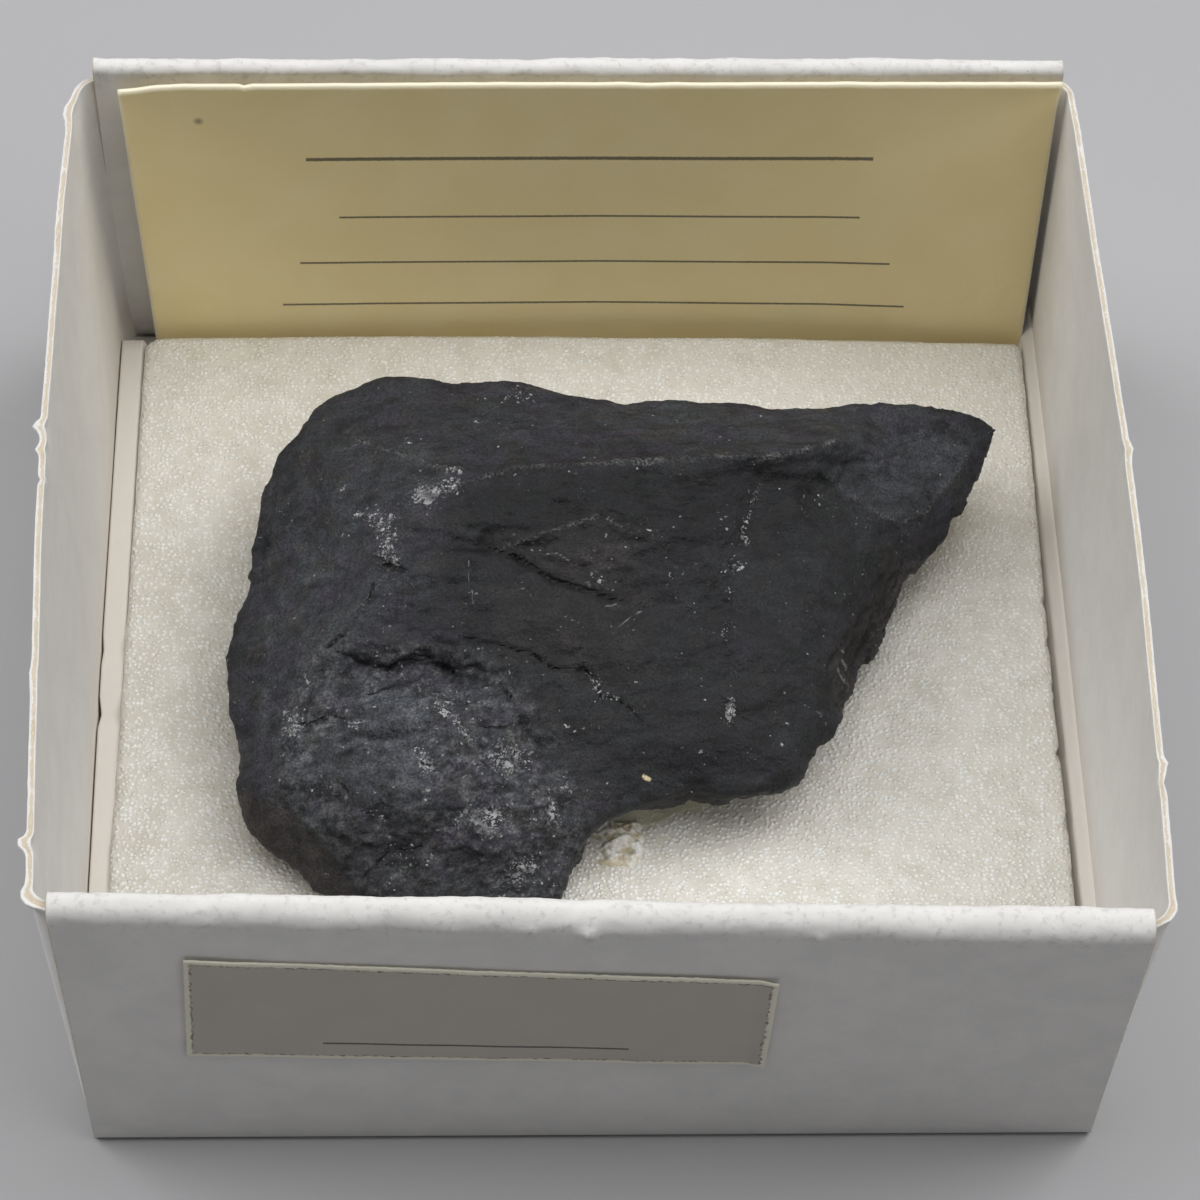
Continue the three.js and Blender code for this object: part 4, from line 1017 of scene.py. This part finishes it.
# Thin pale scratches, and one yellow grain.
SCRATCHES = [
    [(-4.6, 6.6), (-4.7, 6.0), (-4.6, 5.4), (-4.4, 4.6)], [(-7.3, 6.1), (-6.9, 5.5)],
    [(-8.3, 4.1), (-8.1, 3.6), (-7.8, 2.2)], [(-1.5, 6.8), (-1.0, 6.8), (-0.5, 6.5)],
    [(0, 7.1), (0.6, 6.9)], [(0.2, 6.7), (0.5, 6.6), (1.2, 6.1)],
    [(-2.8, 5.4), (-2.4, 5.4), (-2.1, 5.1)], [(-0.9, 4.4), (-0.2, 4.0)], [(-1.6, 3.7), (-1, 3.7)],
    [(1.3, 3.8), (2.4, 4.5)], [(0.9, 4.7), (1.3, 4.8)], [(8.7, 0.8), (9.7, 0.2)],
    [(10.6, 2.8), (10.5, 1.1)], [(10.8, 2.6), (10.8, 1.1)],
]
YELLOW_GRAIN = [(2.38, -2.18), (2.56, -2.28)]
# Painted shade: the broken top face is painted darker than the weathered sides, as it catches less of the
# lights; its corners, and soft spots, most of them painted light.
SHADED_TOP = [
    (-5, 8.8), (-1, 9.6), (8, 9.8), (10.4, 8.4), (12.2, 5.5), (10.5, 1), (8, -2.6), (2, -3.4), (0, -1),
    (-2, 2), (-5.5, 4.6),
]
# Spots painted lighter where faces turn to the lights (the left bevel, the lobe, the back bevel's sheen),
# one of painted shade on the face below the scoop, and the chevron's own lighter tone: u, v, half width,
# half height and strength.
LIGHT_AND_SHADE_SPOTS = [
    (-11.5, 3.8, 2.4, 4.5, 0.85), (-12.5, -0.8, 1.8, 2.2, 0.95), (-4.5, -1.0, 2.6, 2.4, 0.9),
    (0.6, 6.9, 1.7, 0.8, 0.3), (13.0, 6.8, 1.3, 0.9, -0.25), (-3.0, -4.2, 3.0, 2.2, 0.65),
    (-8.5, 8.5, 3.0, 3.0, 0.3), (4.0, 12.6, 7.0, 1.2, 0.3), (15.0, 11.8, 2.6, 2.0, 0.4),
    (-7.8, 1.2, 2.5, 1.4, 0.35),
]

VEIN_DEPTH, SCOOP_DEPTH, STRATA_HEIGHT = 0.16, 0.14, 0.24

# The stone's colours.
BLUISH, GREENISH = (0.0200, 0.0200, 0.0268), (0.0222, 0.0252, 0.0285)
WARM, VIOLET = (0.0275, 0.0255, 0.0235), (0.0238, 0.0208, 0.0295)
BROWN, DUST = (0.0330, 0.0275, 0.0260), (0.040, 0.044, 0.052)
WEATHERED, PALE_VEIL = (0.058, 0.059, 0.063), (0.13, 0.13, 0.135)
# Painted shade for the hollows, and the dark vein's own colour.
HOLLOW_SHADE, VEIN_DARK = (0.007, 0.007, 0.0075), (0.006, 0.006, 0.006)


def clusters(drawn, spots):
    """Soft overlapping spots: each has a middle, a half width, a half height and a strength."""
    u, v = drawn.T
    return sum(strength * np.exp(-(((u - x) / wide) ** 2 + ((v - y) / tall) ** 2))
               for x, y, wide, tall, strength in spots)


def crack_relief(points, drawn, seen):
    """How far the cracks move the surface, and how near each point is to the line of painted shade in one.
    """
    move, line = np.zeros(len(points)), np.full(len(points), FAR)
    for name, (path, width, depth, lip) in CRACKS.items():
        across, share, beyond = along_path(drawn, path)
        ends = np.sqrt(np.clip(np.sin(np.pi * np.clip(share, 0.02, 0.98)), 0, 1))
        strength = seen * ends * (1 + 0.5 * noise(points, 0.9, 93))
        move -= depth * strength * bell(across, width)
        raised = np.where(across > 0, np.exp(-np.abs(across) / 0.6), -0.4 * np.exp(-np.abs(across) / 0.4))
        move += lip * strength * raised * bell(beyond, 0.2)
        if name not in SOFT_CRACKS:
            line = np.minimum(line, np.abs(across) / (width * (0.15 + 0.4 * ends)))
    for path in CREVICES:
        across = along_path(drawn, path)[0]
        move -= CREVICE_DEPTH * seen * bell(across, CREVICE_WIDTH)
        line = np.minimum(line, np.abs(across) / CREVICE_LINE)
    return move, np.where(seen > 0.4, line, FAR)


def edge_relief(drawn, seen):
    """How far the crisp edges move the surface, how far their painted highlight lines are, and the painted
    shade below the crest.
    """
    crest, _, beyond = along_path(drawn, CREST)
    near = seen * bell(beyond, 0.5)
    u, v = drawn.T
    ripples = noise(np.stack([u * 0.25, v + 0.05 * u, 0 * u], 1), 0.45, 89)
    below = smoothstep(-crest, 0, 0.4) * (1 - smoothstep(-crest, 2, 3.4))
    move = near * (0.11 * np.exp(-np.abs(crest) / 0.22) + 0.07 * ripples * below)
    line = np.where(seen > 0.4, np.hypot(crest, beyond), FAR)
    shade = near * smoothstep(-crest, -0.05, 0.15) * (1 - smoothstep(-crest, 1.5, 4.5))
    for path, height, width in EDGES:
        across, _, beyond = along_path(drawn, path)
        distance = np.hypot(across, beyond)
        move += height * seen * np.exp(-distance / width)
        # Raised edges carry a painted highlight line.
        if height > 0:
            line = np.minimum(line, distance + 0.03)
    return move, line, shade


def stone_regions(points, normals):
    """Each point's place in the drawing plane, and where each kind of surface is, from 0 to 1."""
    drawn = np.stack([points[:, 0], points[:, 1] * TO_CAMERA[2] - points[:, 2] * TO_CAMERA[1]], 1)
    for size, amount in ((0.9, 0.07), (0.35, 0.035)):
        drawn += amount * np.stack([noise(points, size, 71), noise(points, size, 72)], 1)
    seen = smoothstep(normals @ TO_CAMERA, 0.12, 0.4)
    smooth_face = inside_polygon(drawn, FRONT_LEFT_FACE, 0.3) * smoothstep(-normals[:, 1], -0.2, 0.2)
    front = smoothstep(-normals[:, 1], 0.3, 0.7) * (1 - smoothstep(points[:, 0], -1, 1))
    lobe = np.maximum(inside_polygon(drawn, LOBE, 0.6) * seen, 0.7 * front) * (1 - smooth_face)
    under = 1 - smoothstep(normals[:, 2], -0.2, 0.25)
    flank = inside_polygon(drawn, FLANK, 0.3)
    return drawn, seen, np.clip(lobe, 0, 1), smooth_face, flank, under


def broken_relief(points, drawn, rough, flat, wavy):
    """The fracture's own relief: dents, crisp low steps and wavy grain, deeper where it is rough."""
    u, v = drawn.T
    streaky = points * [0.45, 1.0, 1.0]
    crisp = 0.07 + 0.1 * wavy
    move = flat * (0.05 * fractal(points, 2.6, 2, 81) + crisp * (ridges(streaky, 0.95, 4, 82, 0.6) - 0.5))
    move += flat * 0.05 * chips(streaky, 1.1, 88)
    move += 0.08 * wavy * noise(np.stack([u * 0.25, v + 0.06 * u, 0 * u], 1), 0.42, 83)
    move += 0.13 * wavy * fractal(points * [0.6, 1, 1], 1.5, 4, 105, 0.6)
    move += 0.03 * noise(points, 0.42, 106) + 0.03 * chips(points, 0.75, 107)
    move += rough * 0.13 * fractal(points * [0.75, 1, 1], 1.6, 5, 84, 0.65)
    move += rough * 0.11 * chips(streaky, 0.55, 85)
    move += rough * 0.09 * (ridges(points, 0.5, 3, 95, 0.6) - 0.5)
    return move - rough * 0.07 * smoothstep(ridges(streaky, 1.2, 3, 86), 0.68, 0.95)


def tinted(colours, other, amount):
    return lerp(colours, np.array(other), np.clip(amount, 0, 1)[:, None])


def stone_ground(points, masks):
    """The stone's ground: its own mottled dark greys, brown faces and pale weathering, with the painted
    light and shade of its tone and painted shade in its hollows.
    """
    streaky = points * [0.4, 1.0, 1.0]
    ground = tinted(np.array([BLUISH]), GREENISH, 0.5 + fractal(points, 2.6, 3, 98))
    mottles = ((WARM, points, 1.1, 97, 0.6), (VIOLET, streaky, 0.9, 96, 0.75))
    for colour, stretched, size, seed, share in mottles:
        ground = tinted(ground, colour, share * smoothstep(fractal(stretched, size, 3, seed), 0.1, 0.6))
    ground = tinted(ground, BROWN, 0.8 * masks["brown"])
    ground = tinted(ground, DUST, masks["dusty"])
    patchy = masks["lobe"] * smoothstep(fractal(points, 0.45, 3, 100, 0.75), -0.2, 0.6)
    ground = tinted(ground, WEATHERED, 0.8 * patchy)
    mottling = np.clip(1 + 0.5 * fractal(streaky, 0.6, 3, 99, 0.75), 0.45, 1.7)
    # The tone carries painted light and shade, as well as the strata's own tone.
    ground = ground * (masks["tone"] * mottling)[:, None]
    veil = masks["white"] * smoothstep(fractal(points, 0.45, 3, 101, 0.75), -0.1, 0.6)
    ground = tinted(ground, PALE_VEIL, 0.3 * veil)
    # Painted shade in the hollows.
    ground = tinted(ground, HOLLOW_SHADE, 0.5 * masks["cavity"])
    broken_vein = masks["vein"] * smoothstep(noise(points, 0.3, 102), 0.1, 0.4)
    return tinted(ground, VEIN_DARK, 0.9 * broken_vein)


def stone_grains(points, masks):
    """How likely pale specks are, and how bright: pale mineral, and painted glints over the lobe and in
    their spots.
    """
    likely = 0.085 * smoothstep(noise(points, 1.3, 103), -0.3, 0.5) - 0.045
    # Painted glints add pale specks over the lobe and in their spots; veil and vein add pale mineral.
    likely += 0.185 * masks["painted_glints"] + 0.09 * masks["white"] + 0.14 * masks["vein"]
    likely += 0.13 * (1 - smoothstep(masks["crust"], 0.4, 3.2))
    return likely, 0.2 + 0.8 * smoothstep(noise(points, 0.5, 104), -0.3, 0.4)


def vein_strength(points, drawn, seen):
    vein, _, beyond = along_path(drawn, VEIN)
    uneven = np.clip(0.8 + 0.7 * noise(points, 1.1, 94), 0, 1.2)
    return seen * bell(vein, 0.22) * bell(beyond, 0.3) * uneven


def dents(points, drawn, seen, in_vein):
    """How deep the vein's gaps, the pits and the scooped facet are."""
    u, v = drawn.T
    depth = VEIN_DEPTH * in_vein * smoothstep(noise(points, 0.33, 91), -0.05, 0.4)
    for x, y, deep, width in PITS:
        depth += deep * bell(np.hypot(u - x, v - y), width) * seen
    return depth + SCOOP_DEPTH * inside_polygon(drawn, SCOOP, 0.5) * seen


def stone_tone(drawn, seen, below_crest):
    """How light each point's ground is, where 1 is the usual: painted shade on the top face and below the
    crest, and the spots of painted light and shade.
    """
    shaded_top = 0.45 * inside_polygon(drawn, SHADED_TOP, 1.6)
    return 1 + (clusters(drawn, LIGHT_AND_SHADE_SPOTS) - shaded_top) * seen - 0.2 * below_crest


def stone_surface(points, normals):
    """How far the stone's surface moves, and where it has each mark."""
    drawn, seen, lobe, smooth_face, flank, under = stone_regions(points, normals)
    rough = np.clip(lobe + 0.6 * under + 0.3 * flank, 0, 1)
    wavy = inside_polygon(drawn, WAVY, 1.2) * seen * (1 - lobe)
    edges, edge_line, below_crest = edge_relief(drawn, seen)
    cracks, crack_line = crack_relief(points, drawn, seen)
    in_vein = vein_strength(points, drawn, seen)
    u, v = drawn.T
    strata = flank * fractal(np.stack([u * 1.6 - v * 0.9, v * 0.2, points[:, 2] * 0.1], 1), 0.42, 2, 92)
    move = broken_relief(points, drawn, rough, 1 - 0.6 * smooth_face, wavy) + edges + cracks
    move += STRATA_HEIGHT * strata - dents(points, drawn, seen, in_vein)
    crusts = np.min([np.abs(along_path(drawn, path)[0]) / width for path, width in CRUSTS], axis=0)
    brown = np.maximum.reduce([0.75 * inside_polygon(drawn, CHEVRON, 0.5), 0.9 * smooth_face, 0.8 * flank,
                               0.6 * inside_polygon(drawn, BROWN_PATCH, 1.0)])
    dusty = 0.9 * inside_polygon(drawn, DUSTY, 0.8) + 0.55 * inside_polygon(drawn, SCOOP, 0.15)
    masks = {
        "lobe": rough,
        "crack": crack_line,
        # The crest field places the painted highlight lines.
        "crest": edge_line,
        "crust": np.where(seen > 0.3, crusts - 0.7, FAR),
        "vein": in_vein,
        "tone": stone_tone(drawn, seen, below_crest) * (1 + 0.6 * strata),
        "dusty": np.clip(dusty, 0, 1) * seen,
        "white": np.clip(clusters(drawn, PATCHES), 0, 1.2) * seen,
        "painted_glints": np.clip(0.14 * lobe + clusters(drawn, PAINTED_GLINT_SPOTS), 0, 1) * seen,
        "scratch": np.where(seen > 0.4, nearest_of(drawn, SCRATCHES), 1.0),
        "yellow": np.abs(along_path(drawn, YELLOW_GRAIN)[0]),
        "brown": np.clip(brown * seen, 0, 1),
    }
    return move, masks


def softened(mesh, points, rounds):
    """Rounds the solid's facets without drawing its outline in."""
    for _ in range(rounds):
        for pull in (0.75, -0.55):
            means = np.stack([neighbour_mean(mesh, points[:, axis]) for axis in range(3)], 1)
            points = lerp(points, means, pull)
    return points


def make_stone():
    """The stone: the solid's shape, finely broken, with its marks as fields for the material."""
    stone = remeshed("shungite_stone", "shungite_rock", 0.139)
    mesh = stone.data
    points = softened(mesh, points_of(mesh), 14)
    move_points(mesh, points)
    normals = normals_of(mesh)
    normals = np.stack([neighbour_mean(mesh, normals[:, axis], 3) for axis in range(3)], 1)
    normals /= np.linalg.norm(normals, axis=1, keepdims=True)
    move, masks = stone_surface(points, normals)
    moved = points + normals * move[:, None]
    moved[:, 2] = np.maximum(moved[:, 2], STONE_BOTTOM - 0.28)
    move_points(mesh, moved)
    # How far each point lies below its neighbours, for the painted shade in the hollows.
    hollow = neighbour_mean(mesh, move, 4) - move
    wide_hollow = neighbour_mean(mesh, move, 24) - move
    masks["cavity"] = np.clip(hollow / 0.05 + wide_hollow / 0.2 - 0.15, 0, 1)
    grains, glint = stone_grains(points, masks)
    for name in ("crack", "crest", "crust", "scratch", "yellow"):
        add_field(mesh, name, masks[name])
    add_field(mesh, "grains", grains)
    add_field(mesh, "glint", glint)
    add_colours(mesh, "ground", stone_ground(points, masks))
    mesh.materials.append(shungite_material())
    return place_piece(stone, "shungite", "shungite_rock")


# ---- Camera, floor and lights ----------------------------------------------
CAMERA_PLACE = (-2.999, -90.46, 139.556)
CAMERA_TURNS = (55.33, 2.34, 1.45)  # pitch, yaw and roll in degrees
SENSOR, LENS = 36, 116.52
FLOOR_REACH, FLOOR_DROP = 1200, 0.02
LIGHT_DISTANCE = 0.6  # metres

# Soft square lights that face the tray: direction, side in metres and watts.
LIGHTS = {
    "left_back": ((-0.95, 0.3, 0.9), 0.4, 1.75),
    "top": ((0.0, 0.0, 1.0), 0.45, 1.65),
    "right_back": ((0.8, 0.35, 1.0), 0.35, 1.55),
    "right_front": ((0.8, -0.4, 1.0), 0.35, 0.5),
}


def add_camera():
    """The photo's camera, fitted to the tray's edges."""
    pitch, yaw, roll = (math.radians(angle) for angle in CAMERA_TURNS)
    forward = Vector((math.sin(yaw) * math.cos(pitch), math.cos(yaw) * math.cos(pitch), -math.sin(pitch)))
    level = Vector((math.cos(yaw), -math.sin(yaw), 0))
    climb = level.cross(forward)
    right = level * math.cos(roll) + climb * math.sin(roll)
    up = climb * math.cos(roll) - level * math.sin(roll)
    camera = bpy.data.objects.new("camera", bpy.data.cameras.new("camera"))
    bpy.context.scene.collection.objects.link(camera)
    turn = Matrix((right, up, -forward)).transposed().to_4x4()
    camera.matrix_world = Matrix.Translation(Vector(CAMERA_PLACE) * MM) @ turn
    camera.data.sensor_width = SENSOR
    camera.data.lens = LENS
    camera.data.clip_start = 0.005
    bpy.context.scene.camera = camera


def add_light(name, toward, size, watts):
    direction = Vector(toward).normalized()
    light = bpy.data.objects.new(name, bpy.data.lights.new(name, "AREA"))
    light.data.shape = "SQUARE"
    light.data.size = size
    light.data.energy = watts
    turn = direction.to_track_quat("Z", "Y").to_matrix().to_4x4()
    light.matrix_world = Matrix.Translation(direction * LIGHT_DISTANCE) @ turn
    bpy.context.scene.collection.objects.link(light)


def add_floor():
    """A wide pale floor, a hair below the tray."""
    sides = ((-1, -1), (1, -1), (1, 1), (-1, 1))
    corners = [(x * FLOOR_REACH, y * FLOOR_REACH, -FLOOR_DROP) for x, y in sides]
    floor = new_object("floor", mesh_from("floor", corners, [[0, 1, 2, 3]]))
    s = Shader("pale_floor", 0.8, Specular_IOR_Level=0.0, Base_Color=(0.43, 0.43, 0.44, 1))
    floor.data.materials.append(s.material)


def add_world():
    """A faint even light from all round."""
    world = bpy.data.worlds.new("studio")
    world.use_nodes = True
    background = next(n for n in world.node_tree.nodes if n.type == "BACKGROUND")
    background.inputs["Color"].default_value = (1, 1, 1, 1)
    background.inputs["Strength"].default_value = 0.02
    bpy.context.scene.world = world


add_camera()
add_floor()
add_world()
for light_name, light_values in LIGHTS.items():
    add_light(light_name, *light_values)
bpy.context.scene.view_settings.view_transform = "Standard"

make_tray()
make_foam()
make_name_card()
make_label()
make_glue()
make_stone()
